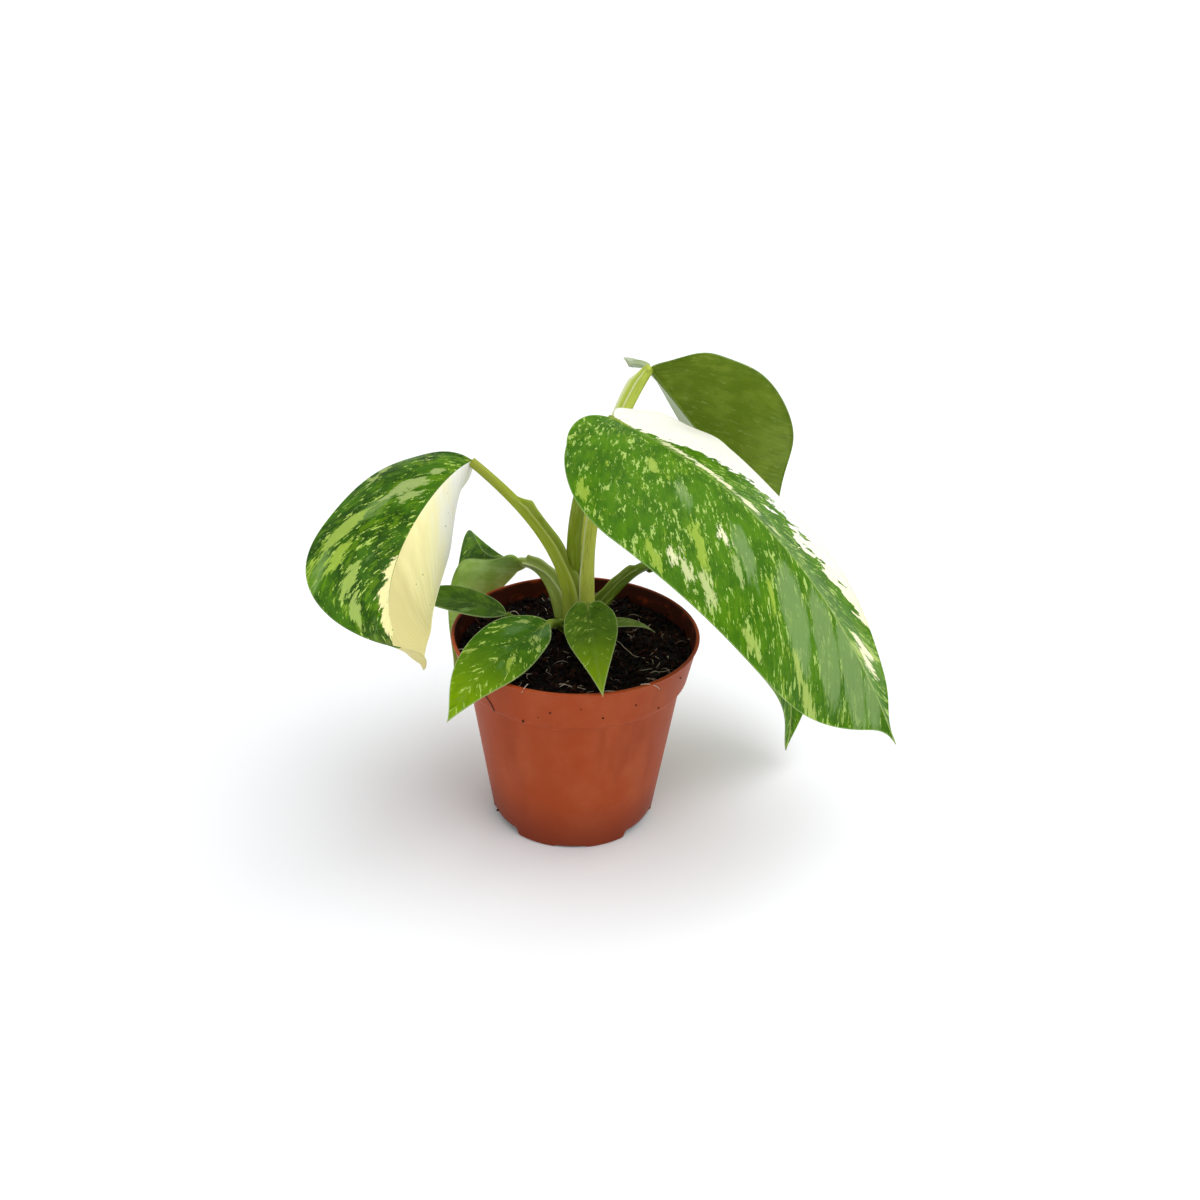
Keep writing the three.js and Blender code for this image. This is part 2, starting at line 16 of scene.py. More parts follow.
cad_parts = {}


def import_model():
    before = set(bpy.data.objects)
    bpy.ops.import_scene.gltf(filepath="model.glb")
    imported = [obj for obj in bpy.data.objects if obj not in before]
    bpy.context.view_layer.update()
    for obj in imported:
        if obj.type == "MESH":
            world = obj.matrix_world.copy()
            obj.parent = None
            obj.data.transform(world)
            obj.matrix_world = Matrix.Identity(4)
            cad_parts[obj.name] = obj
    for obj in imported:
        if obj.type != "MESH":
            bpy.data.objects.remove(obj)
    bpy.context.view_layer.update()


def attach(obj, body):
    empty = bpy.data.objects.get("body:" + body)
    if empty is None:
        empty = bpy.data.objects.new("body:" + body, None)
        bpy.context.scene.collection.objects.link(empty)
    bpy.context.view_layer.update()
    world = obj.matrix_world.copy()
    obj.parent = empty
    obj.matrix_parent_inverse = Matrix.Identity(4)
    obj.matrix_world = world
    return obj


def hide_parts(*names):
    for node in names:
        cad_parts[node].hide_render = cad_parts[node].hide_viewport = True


LOG = logging.getLogger("potted_philodendron")
METRES = 0.001  # one millimetre
POLE = 0.01  # the radius at which a turned profile is closed by a fan
SEED_SHIFT = (1, 0.7, 0.3)  # how far a seed of 1 moves a pattern along each axis, in lumps
NOISE_SPAN = (0.3, 0.7)  # most of a noise's values lie between these
VEIN_SWEEP = (0.4, 1.5)  # how far a side vein runs towards the tip for each step outwards, at base and tip
VEIN_STRETCH = 1.25  # its length for each step outwards
NOWHERE = 9  # a share of the half width that no point reaches

Array = np.ndarray
Tree = bpy.types.NodeTree


# Nodes and colours


Output = bpy.types.Node | tuple[bpy.types.Node, int | str]  # a node's first output, or any one of them
Colour = str | Output  # an sRGB hex value or an output


def linear(colour: str) -> tuple[float, float, float, float]:
    """Turns an sRGB hex colour into the linear colour that a node takes.

    Args:
        colour: a colour such as "#5f7f2a".
    Returns:
        Linear red, green, blue and alpha.
    """
    parts = [int(colour[k:k + 2], 16) / 255 for k in (1, 3, 5)]
    low = [c / 12.92 if c <= 0.04045 else ((c + 0.055) / 1.055) ** 2.4 for c in parts]
    return (low[0], low[1], low[2], 1.0)


def add_node(tree: Tree, kind: str, inputs: dict | None = None, **settings) -> bpy.types.Node:
    """Adds a node with its settings and links.

    Args:
        tree: the node tree of a material or world.
        kind: Blender's name for the kind of node.
        inputs: for a socket's name or number, a value, a hex colour or an output.
        settings: the node's own properties.
    Returns:
        The new node.
    """
    node = tree.nodes.new(kind)
    for name, value in settings.items():
        setattr(node, name, value)
    for socket, value in (inputs or {}).items():
        source = (value, 0) if isinstance(value, bpy.types.Node) else value
        if isinstance(source, tuple) and isinstance(source[0], bpy.types.Node):
            tree.links.new(source[0].outputs[source[1]], node.inputs[socket])
        else:
            node.inputs[socket].default_value = linear(source) if isinstance(source, str) else source
    return node


def new_material(name: str) -> tuple[bpy.types.Material, Tree]:
    """Makes an empty node material.

    Args:
        name: the real material and how it was made.
    Returns:
        The material and its node tree.
    """
    material = bpy.data.materials.new(name)
    material.use_nodes = True
    material.node_tree.nodes.clear()
    return material, material.node_tree


def finish_material(tree: Tree, inputs: dict, relief: tuple = (), gloss: tuple = ()) -> None:
    """Ends a material with its shader and output.

    Args:
        tree: the material's node tree.
        inputs: the shader's inputs.
        relief: a height, how strongly it shows and how far it reaches, in metres.
        gloss: a noise, the two ends of its span and the roughness at each.
    """
    inputs = dict(inputs)
    if relief:
        sockets = zip(("Height", "Strength", "Distance"), relief)
        inputs["Normal"] = add_node(tree, "ShaderNodeBump", dict(sockets))
    if gloss:
        sockets = zip(("Value", "From Min", "From Max", "To Min", "To Max"), gloss)
        inputs["Roughness"] = add_node(tree, "ShaderNodeMapRange", dict(sockets))
    shader = add_node(tree, "ShaderNodeBsdfPrincipled", inputs)
    add_node(tree, "ShaderNodeOutputMaterial", {"Surface": shader})


def position(tree: Tree) -> bpy.types.Node:
    """The place on a piece, in millimetres."""
    place = (add_node(tree, "ShaderNodeTexCoord"), "Object")
    return add_node(tree, "ShaderNodeVectorMath", {0: place, "Scale": 1 / METRES}, operation="SCALE")


def within(tree: Tree, *limits: tuple) -> bpy.types.Node:
    """How far a place lies within every one of some limits: soft steps, multiplied together.

    Args:
        tree: the material's node tree.
        limits: each a value, where its step begins, where it ends and, if it isn't 1, how high it rises.
    Returns:
        The share's node.
    """
    share = None
    for value, low, high, *top in limits:
        step = add_node(tree, "ShaderNodeMapRange", {
            "Value": value, "From Min": low, "From Max": high, "To Max": top[0] if top else 1.0,
        }, interpolation_type="SMOOTHSTEP")
        both = {0: share, 1: step}
        share = add_node(tree, "ShaderNodeMath", both, operation="MULTIPLY") if share else step
    return share


def coated(tree: Tree, below: Colour, above: Colour, *limits: tuple) -> Output:
    """Lays one colour over another where a place lies within some limits, given as within takes them."""
    share = within(tree, *limits)
    return add_node(tree, "ShaderNodeMix", {0: share, 6: below, 7: above}, data_type="RGBA"), 2


@dataclass(frozen=True)
class Lumps:
    """Cloudy noise, 0.5 on average, in lumps of a real size along each axis, in millimetres.

    seed moves the pattern, so that no two are alike. detail is how many finer layers it has and rough how
    strong they are. rise says where a coat that follows the noise begins, where it is full, and how full.
    """

    size: tuple[float, float, float]
    seed: float
    detail: float = 3.0
    rough: float = 0.6
    rise: tuple[float, ...] = (0.0, 1.0)

    def on(self, tree: Tree, where: Output, shift: float = 0) -> bpy.types.Node:
        """Adds the noise.

        Args:
            tree: the material's node tree.
            where: the position, in millimetres.
            shift: is added to the seed, so that one leaf's patterns differ from another's.
        Returns:
            The noise node.
        """
        scaled = add_node(tree, "ShaderNodeMapping", {
            "Vector": where, "Location": tuple((self.seed + shift) * s for s in SEED_SHIFT),
            "Scale": tuple(1 / s for s in self.size),
        })
        return add_node(tree, "ShaderNodeTexNoise", {
            "Vector": scaled, "Scale": 1.0, "Detail": self.detail, "Roughness": self.rough,
        }, noise_dimensions="3D")

    def over(self, tree: Tree, where: Output, below: Colour, above: Colour,
             shift: float = 0, rise: tuple[float, ...] | None = None) -> Output:
        """Lays one colour over another where the noise is high; a rise stands in for its own."""
        return coated(tree, below, above, (self.on(tree, where, shift), *(rise or self.rise)))

    def lowered(self, by: float) -> tuple[float, ...]:
        """Its rise, beginning and ending lower, so that more of the coat shows."""
        return (self.rise[0] - by, self.rise[1] - by, *self.rise[2:])


# Curves and surfaces


def cubic(points: Array, t: Array) -> Array:
    """Points of a cubic curve: the four points weighed by (1-t)^3, 3t(1-t)^2, 3t^2(1-t) and t^3.

    Args:
        points: the curve's four points.
        t: shares of the way along it.
    Returns:
        The point at each share.
    """
    r = 1 - t
    shares = np.stack([r ** 3, 3 * t * r * r, 3 * t * t * r, t ** 3], axis=-1)
    return shares @ np.asarray(points, float)


def cubic_direction(points: Array, t: Array) -> Array:
    """Unit directions of a cubic curve, from its derivative.

    Args:
        points: the curve's four points.
        t: shares of the way along it.
    Returns:
        The direction at each share.
    """
    ends = np.diff(np.asarray(points, float), axis=0)
    r = 1 - t
    shares = np.stack([r * r, 2 * t * r, t * t], axis=-1)
    return unit(shares @ ends)


def unit(vectors: Array) -> Array:
    """Vectors divided by their lengths."""
    return vectors / np.maximum(np.linalg.norm(vectors, axis=-1, keepdims=True), 1e-12)


def mix(a: Array | float, b: Array | float, t: Array | float) -> Array | float:
    """The straight mix a + (b - a) t."""
    return a + (b - a) * t


def polar(radius: Array | float, angle: Array, height: Array) -> Array:
    """Points by radius, angle in radians and height, spread over one grid."""
    level = radius * np.cos(angle), radius * np.sin(angle)
    return np.stack(np.broadcast_arrays(*level, height), axis=-1)


def along_veins(along: Array, out: Array, length: float) -> tuple[Array, Array]:
    """The place on a flat blade across and along its side veins, which lean over more towards the tip.

    Args:
        along: how far along the midrib.
        out: how far out from it.
        length: the midrib's length.
    Returns:
        The shift across the veins, along minus sweep times out, and the way along them.
    """
    sweep = mix(*VEIN_SWEEP, np.clip(along / length, 0, 1))
    return along - sweep * out, VEIN_STRETCH * out


def lattice_noise(x: Array, y: Array, cell: float, seed: int) -> Array:
    """Smooth noise from -1 to 1: random values on a square lattice, blended by a smooth step.

    Args:
        x: positions in millimetres.
        y: positions in millimetres.
        cell: the lattice's spacing in millimetres.
        seed: picks the random values.
    Returns:
        The noise at each position.
    """
    table = np.random.default_rng(seed).uniform(-1, 1, (64, 64))
    cx, cy = np.floor(x / cell).astype(int), np.floor(y / cell).astype(int)
    fx, fy = x / cell - cx, y / cell - cy
    sx, sy = fx * fx * (3 - 2 * fx), fy * fy * (3 - 2 * fy)
    near = mix(table[cx % 64, cy % 64], table[(cx + 1) % 64, cy % 64], sx)
    far = mix(table[cx % 64, (cy + 1) % 64], table[(cx + 1) % 64, (cy + 1) % 64], sx)
    return mix(near, far, sy)


def grid_faces(rows: int, columns: int, wrap: bool) -> Array:
    """Quads between neighbouring points of a grid that is numbered row by row.

    Args:
        rows: the number of rows of points.
        columns: the number of points in a row.
        wrap: whether the last column joins the first.
    Returns:
        Four point numbers for each quad.
    """
    row = np.arange(rows - 1)[:, None] * columns
    column = np.arange(columns if wrap else columns - 1)[None, :]
    ahead = (column + 1) % columns
    quads = np.stack([row + column, row + ahead, row + columns + ahead, row + columns + column], axis=-1)
    return quads.reshape(-1, 4)


@dataclass
class Surface:
    """Points in millimetres, blocks of faces with a material slot each, and values carried by the points.

    A field of one number a point becomes a plain attribute, of two a UV map and of three a vector.
    """

    points: Array
    blocks: list[tuple[Array, int]]
    fields: dict[str, Array] = field(default_factory=dict)

    def turned_outwards(self) -> "Surface":
        """Flips every face if the volume, the sum of a . (b x c) over the triangles, comes out negative.

        Returns:
            The same surface.
        """
        volume = 0.0
        for faces, _ in self.blocks:
            for k in range(1, faces.shape[1] - 1):
                a, b, c = (self.points[faces[:, n]] for n in (0, k, k + 1))
                volume += float(np.einsum("ij,ij->", a, np.cross(b, c)))
        if volume < 0:
            self.blocks = [(faces[:, ::-1], slot) for faces, slot in self.blocks]
        return self

    def piece(self, name: str, materials: list[bpy.types.Material]) -> bpy.types.Object:
        """Writes the surface into a smooth-shaded Blender object.

        Args:
            name: the piece's name.
            materials: the material of each slot.
        Returns:
            The new object.
        """
        mesh = bpy.data.meshes.new(name)
        faces = [face for block, _ in self.blocks for face in block.tolist()]
        mesh.from_pydata((self.points * METRES).tolist(), [], faces)
        corners = np.concatenate([block.ravel() for block, _ in self.blocks])
        for key, values in self.fields.items():
            numbers = values.astype(np.float32)
            if values.shape[1:] == (2,):
                mesh.uv_layers.new(name=key).uv.foreach_set("vector", numbers[corners].ravel())
            elif values.ndim == 2:
                mesh.attributes.new(key, "FLOAT_VECTOR", "POINT").data.foreach_set("vector", numbers.ravel())
            else:
                mesh.attributes.new(key, "FLOAT", "POINT").data.foreach_set("value", numbers)
        for material in materials:
            mesh.materials.append(material)
        slots = np.concatenate([np.full(len(block), slot) for block, slot in self.blocks])
        mesh.polygons.foreach_set("material_index", slots.astype(np.int32))
        mesh.polygons.foreach_set("use_smooth", np.ones(len(slots), bool))
        mesh.update()
        mesh.validate()
        piece = bpy.data.objects.new(name, mesh)
        bpy.context.scene.collection.objects.link(piece)
        return piece


def joined(surfaces: list[Surface]) -> Surface:
    """Puts several surfaces into one; a field that one of them lacks is 0 there.

    Args:
        surfaces: the surfaces to join.
    Returns:
        The joined surface.
    """
    widths = {key: values.shape[1:] for s in surfaces for key, values in s.fields.items()}
    blocks, start = [], 0
    for surface in surfaces:
        blocks += [(faces + start, slot) for faces, slot in surface.blocks]
        start += len(surface.points)
    fields = {
        key: np.concatenate([s.fields.get(key, np.zeros((len(s.points), *width))) for s in surfaces])
        for key, width in widths.items()
    }
    return Surface(np.concatenate([s.points for s in surfaces]), blocks, fields)


def tube(rings: Array, slot: int = 0, fields: dict[str, Array] | None = None) -> Surface:
    """A closed tube through rings of points, with a fan over each end.

    Args:
        rings: points by ring and place around, in millimetres.
        slot: the material slot.
        fields: values for each point, by ring and place around.
    Returns:
        The closed surface, facing outwards.
    """
    count, sides = rings.shape[:2]
    points = np.concatenate([rings.reshape(-1, 3), rings[[0, -1]].mean(axis=1)])
    around = np.arange(sides)
    ahead = (around + 1) % sides
    last = (count - 1) * sides
    first_fan = np.stack([np.full(sides, count * sides), ahead, around], axis=-1)
    last_fan = np.stack([np.full(sides, count * sides + 1), last + around, last + ahead], axis=-1)
    carried = {}
    for key, values in (fields or {}).items():
        ends = values[[0, -1]].mean(axis=1)
        carried[key] = np.concatenate([values.reshape(count * sides, *values.shape[2:]), ends])
    blocks = [(grid_faces(count, sides, wrap=True), slot), (first_fan, slot), (last_fan, slot)]
    return Surface(points, blocks, carried).turned_outwards()


def softened(profile: Array, radius: float, steps: int = 5) -> Array:
    """Rounds each corner of an open profile with a short curve that keeps away from the next corner.

    Args:
        profile: corners as radius and height.
        radius: how far the rounding reaches from a corner.
        steps: the points of each rounding.
    Returns:
        The rounded profile.
    """
    here, ends = profile[1:-1], []
    for other in (profile[:-2], profile[2:]):
        length = np.linalg.norm(other - here, axis=1, keepdims=True)
        ends.append(here + (other - here) / length * np.minimum(radius, 0.45 * length))
    start, end = ends
    s = np.linspace(0, 1, steps)[None, :, None]
    curve = (1 - s) ** 2 * start[:, None] + 2 * s * (1 - s) * here[:, None] + s * s * end[:, None]
    return np.concatenate([profile[:1], curve.reshape(-1, 2), profile[-1:]])


def spaced(profile: Array, spacing: float) -> Array:
    """Adds points to a profile so that no two neighbours are further apart than the spacing.

    Args:
        profile: corners as radius and height.
        spacing: the greatest distance, in millimetres.
    Returns:
        The profile with its corners and the points between them.
    """
    run = np.concatenate([[0], np.cumsum(np.linalg.norm(np.diff(profile, axis=0), axis=1))])
    stations = np.union1d(run, np.arange(0, run[-1], spacing))
    return np.stack([np.interp(stations, run, values) for values in profile.T], axis=1)


def finish_piece(piece: bpy.types.Object, slot: str, stands_for: str | None = None) -> None:
    """Fixes a piece to the plant's body and reports it.

    Args:
        piece: the finished object.
        slot: the record's material slot.
        stands_for: the node of the part that the piece replaces.
    """
    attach(piece, "root")
    if stands_for:
        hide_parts(stands_for)
    LOG.info("%s: %d faces, %s", piece.name, len(piece.data.polygons), slot)


# The pot


@dataclass(frozen=True)
class TerracottaPlastic:
    """Injection-moulded polypropylene in terracotta brown: even, slightly satin, with scuffs, dust and peat
    staining, and painted shade inside, in the foot's pockets and towards the foot.
    """

    body: str = "#a04014"
    worn: str = "#ab522c"
    shade: str = "#8c3610"
    dust: str = "#3a2017"
    peat_stain_and_shade: str = "#36130a"
    painted_pocket_shade: str = "#140a06"
    # painted shade that darkens the wall towards the foot, where less light reaches it
    damp: str = "#742a12"
    clouds: Lumps = Lumps((26, 26, 34), 3.1, 4, rise=(0.38, 0.72, 0.8))  # broad and faint, from handling
    flow: Lumps = Lumps((14, 14, 60), 7.7, 2, rise=(0.5, 0.75, 0.5))  # darker bands that run up the wall
    scuffs: Lumps = Lumps((8, 8, 0.6), 11.3, 3, 0.7, (0.68, 0.8, 0.35))  # fine pale lines round the wall
    stain_and_shade_lumps: Lumps = Lumps((9, 9, 5), 15.5, 4, rise=(0.1, 0.5, 0.95))  # damp peat on the inside, darkened further as painted shade
    specks: Lumps = Lumps((1.6, 1.6, 1.6), 5.9, 1, rise=(0.78, 0.82, 0.8))  # peat dust
    grain: Lumps = Lumps((0.7, 0.7, 0.7), 1.0, 2)  # the mould's finish
    inside_edge: tuple[float, float] = (0.0, 0.4)  # the peat colour and the painted shade fade over this depth past the wall's middle
    stain_and_shade_from: tuple[float, float] = (80.5, 82)  # and begins between these heights
    foot_shade_height: float = 34  # painted shade: the wall darkens below this
    foot_shade_share: float = 0.75
    pocket_roof: float = 4.2  # painted shade in the foot's pockets lies below this height
    roof_edge: tuple[float, float] = (0.0, 0.6)
    foot_reach: float = 40.2  # and inside this radius
    foot_edge: tuple[float, float, float] = (0.0, 1.5, 0.9)
    collar_slope: float = 0.219
    inner_reach: float = 37.2  # the wall's middle brought down the slope to the floor
    roughness: tuple[float, float] = (0.42, 0.56)

    def material(self) -> bpy.types.Material:
        """Builds the pot's material.

        Returns:
            The material.
        """
        material, tree = new_material("Polypropylene terracotta brown, injection moulded")
        where = position(tree)
        clouds = self.clouds.on(tree, where)
        colour = coated(tree, self.body, self.worn, (clouds, *self.clouds.rise))
        colour = self.flow.over(tree, where, colour, self.shade)
        colour = self.scuffs.over(tree, where, colour, self.worn)
        # A place is inside where its radius less the collar's slope times its height stays under inner_reach
        parts = add_node(tree, "ShaderNodeSeparateXYZ", {"Vector": where})
        level = add_node(tree, "ShaderNodeCombineXYZ", {"X": (parts, "X"), "Y": (parts, "Y")})
        radius = (add_node(tree, "ShaderNodeVectorMath", {0: level}, operation="LENGTH"), "Value")
        height = (parts, "Z")
        straight = add_node(tree, "ShaderNodeMath", {
            0: height, 1: -self.collar_slope, 2: radius,
        }, operation="MULTIPLY_ADD")
        inside, into_foot_shade, under_roof, under_foot = (
            add_node(tree, "ShaderNodeMath", {0: limit, 1: value}, operation="SUBTRACT")
            for limit, value in (
                (self.inner_reach, straight), (self.foot_shade_height, height),
                (self.pocket_roof, height), (self.foot_reach, radius),
            )
        )
        # Above the soil the inside is darkened: partly peat staining, partly painted shade
        stain_and_shade_lumps = self.stain_and_shade_lumps.on(tree, where)
        colour = coated(
            tree, colour, self.peat_stain_and_shade,
            (inside, *self.inside_edge), (stain_and_shade_lumps, *self.stain_and_shade_lumps.rise), (height, *self.stain_and_shade_from))
        # Painted shade: the wall darkens towards the foot
        colour = coated(tree, colour, self.damp, (into_foot_shade, 0.0, self.foot_shade_height, self.foot_shade_share))
        # Painted shade in the pockets under the foot's notches
        colour = coated(
            tree, colour, self.painted_pocket_shade, (under_roof, *self.roof_edge), (under_foot, *self.foot_edge))
        colour = self.specks.over(tree, where, colour, self.dust)
        finish_material(
            tree, {"Base Color": colour, "IOR": 1.49, "Specular IOR Level": 0.16},
            (self.grain.on(tree, where), 0.12, 0.0001), (clouds, *NOISE_SPAN, *self.roughness))
        return material


@dataclass
class NurseryPot:
    """The round tapered pot with its collar, rolled rim and notched foot."""

    height: float = 100
    rim_radius: float = 60
    collar_height: float = 21
    collar_foot_radius: float = 55.4
    step_height: float = 2.6
    body_top_radius: float = 52.4
    base_radius: float = 40.5
    wall: float = 1.4
    lip: float = 0.5
    floor_thickness: float = 1.5
    notch_count: int = 3
    notch_first: float = 60  # degrees from the front
    notch_spread: float = 38
    notch_slope: float = 3.5  # degrees over which a notch rises
    notch_height: float = 3.5
    pocket_radius: float = 32
    hole_radius: float = 3.6
    shallow_height: float = 0.8
    shallow_spread: float = 22
    foot_reach: float = 8  # how far up the wall a notch bends the mesh
    edge: float = 0.8  # the width over which a pocket or a gap begins
    gap_depth: float = 2.4  # how far a shallow gap goes in from the foot's edge
    rounding: float = 1.1  # how far the rounding of a corner reaches
    spacing: float = 1.6  # between the points of the profile
    segments: int = 288
    finish: TerracottaPlastic = TerracottaPlastic()

    def radius_at(self, z: Array) -> Array:
        """The outside radius at a height: straight runs between foot, step and rim.

        Args:
            z: heights.
        Returns:
            The radii.
        """
        step_top = self.height - self.collar_height
        heights = [0, step_top - self.step_height, step_top, self.height]
        return np.interp(z, heights, [
            self.base_radius, self.body_top_radius, self.collar_foot_radius, self.rim_radius,
        ])

    def notch(self, turn: Array, first: float, spread: float) -> Array:
        """1 within a spread of degrees about each notch, 0 outside, with a smooth slope between.

        Args:
            turn: degrees from the front.
            first: where the first notch is.
            spread: a notch's width in degrees.
        Returns:
            The share at each turn.
        """
        period = 360 / self.notch_count
        away = np.abs((turn - first + period / 2) % period - period / 2)
        s = np.clip((spread / 2 + self.notch_slope / 2 - away) / self.notch_slope, 0, 1)
        return s * s * (3 - 2 * s)

    def lift(self, radius: Array, turn: Array) -> Array:
        """How far the foot is raised: the pocket height in a notch, else the shallow gap at the wall.

        Args:
            radius: distances from the axis.
            turn: degrees from the front.
        Returns:
            The heights in millimetres.
        """
        deep = self.notch(turn, self.notch_first, self.notch_spread)
        shallow = self.notch(turn, 0, self.shallow_spread)
        in_pocket = np.clip((radius - self.pocket_radius) / self.edge, 0, 1)
        at_wall = np.clip((radius - self.base_radius + self.gap_depth) / self.edge, 0, 1)
        return np.maximum(self.notch_height * deep * in_pocket, self.shallow_height * shallow * at_wall)

    def shell(self) -> Surface:
        """The wall, rim and floor: a profile turned about Z, its foot raised where the notches are.

        Returns:
            The closed surface.
        """
        step_top = self.height - self.collar_height
        step_foot = step_top - self.step_height
        outside = [[self.radius_at(z), z] for z in (0, step_foot, step_top, self.height - 3 * self.lip)]
        rim = [
            [self.rim_radius + self.lip, self.height - 2 * self.lip],
            [self.rim_radius + self.lip, self.height - self.lip],
            [self.rim_radius, self.height],
            [self.rim_radius - self.wall + self.lip, self.height],
            [self.rim_radius - self.wall, self.height - self.lip],
        ]
        inside = [[self.radius_at(z) - self.wall, z] for z in (step_top, step_foot, self.floor_thickness)]
        corners = np.array([[POLE, 0], *outside, *rim, *inside, [POLE, self.floor_thickness]])
        profile = spaced(softened(corners, self.rounding), self.spacing)
        turn = np.arange(self.segments)[None, :] * 360 / self.segments
        radius, height = profile[:, :1], profile[:, 1:]
        top_of_profile = np.argmax(profile[:, 1])
        is_inside = (np.arange(len(profile)) > top_of_profile)[:, None]
        roof = self.wall - self.floor_thickness
        lift = self.lift(radius + is_inside * self.wall, turn)
        raised = np.where(is_inside, np.maximum(lift + roof, 0), lift)
        above_floor = height - is_inside * self.floor_thickness
        z = height + raised * np.clip(1 - above_floor / self.foot_reach, 0, 1)
        return tube(polar(radius, np.radians(turn - 90), z))

    def drain_hole(self, turn: float) -> bpy.types.Object:
        """A short upright cutter through a pocket's roof.

        Args:
            turn: degrees from the front.
        Returns:
            The cutter.
        """
        reach = (self.pocket_radius + self.base_radius) / 2 - 1
        angle, around = math.radians(turn - 90), np.linspace(0, 2 * np.pi, 32, endpoint=False)
        middle = np.array([reach * math.cos(angle), reach * math.sin(angle), 0])
        heights = np.array([self.notch_height - 1, self.notch_height + self.wall + 1])[:, None]
        return tube(middle + polar(self.hole_radius, around, heights)).piece("drain_cutter", [])

    def build(self) -> None:
        """Makes the pot, pierces its drain holes and dresses it."""
        pot = self.shell().piece("pot_shell", [self.finish.material()])
        for k in range(self.notch_count):
            cutter = self.drain_hole(self.notch_first + 360 * k / self.notch_count)
            cut = pot.modifiers.new("hole", "BOOLEAN")
            cut.operation, cut.solver, cut.object = "DIFFERENCE", "EXACT", cutter
            bpy.context.view_layer.update()
            graph = bpy.context.evaluated_depsgraph_get()
            pierced = bpy.data.meshes.new_from_object(pot.evaluated_get(graph))
            pot.modifiers.clear()
            pot.data = pierced
            bpy.data.objects.remove(cutter)
        finish_piece(pot, "pot_plastic", "pot")


# The soil


@dataclass(frozen=True)
class PeatMix:
    """Damp potting soil, milled peat with coir: nearly black, matt, with browner dry crumbs."""

    wet: str = "#090403"
    dry: str = "#3e1e10"
    fibre: str = "#d6c4b0"
    aged: str = "#6e4f3a"
    root: str = "#4c2415"
    lumps: Lumps = Lumps((4, 4, 4), 2.0, 5, 0.7, (0.5, 0.75, 0.7))
    grit: Lumps = Lumps((0.5, 0.5, 0.5), 9.0, 4, 0.7)
    tone: Lumps = Lumps((3, 3, 3), 4.0, rise=(0.4, 0.7, 0.5))
    damp_span: tuple[float, float] = (0.35, 0.6)  # the lumps' values from damp to dry
    roughness: tuple[float, float] = (0.5, 0.9)  # damp patches glint, the rest is dull

    def soil(self) -> bpy.types.Material:
        """Builds the material of the bed and of its crumbs, which carry a tint each.

        Returns:
            The material.
        """
        material, tree = new_material("Peat and coir potting mix, milled, damp")
        where = position(tree)
        tint = (add_node(tree, "ShaderNodeAttribute", attribute_name="Tint"), "Fac")
        lumps = self.lumps.on(tree, where)
        colour = coated(tree, self.wet, self.dry, (lumps, *self.lumps.rise))
        colour = add_node(tree, "ShaderNodeMix", {0: tint, 6: colour, 7: self.dry}, data_type="RGBA"), 2
        finish_material(
            tree, {"Base Color": colour, "IOR": 1.4, "Specular IOR Level": 0.2},
            (self.grit.on(tree, where), 0.9, 0.0004), (lumps, *self.damp_span, *self.roughness))
        return material

    def strand(self) -> bpy.types.Material:
        """Builds the material of thin dry fibres: pale straw, darker in places.

        Returns:
            The material.
        """
        material, tree = new_material("Coir fibre, dry")
        tint = (add_node(tree, "ShaderNodeAttribute", attribute_name="Tint"), "Fac")
        colour = self.tone.over(tree, position(tree), self.fibre, self.aged)
        colour = add_node(tree, "ShaderNodeMix", {0: tint, 6: colour, 7: self.root}, data_type="RGBA"), 2
        finish_material(tree, {"Base Color": colour, "Roughness": 0.6, "IOR": 1.45})
        return material


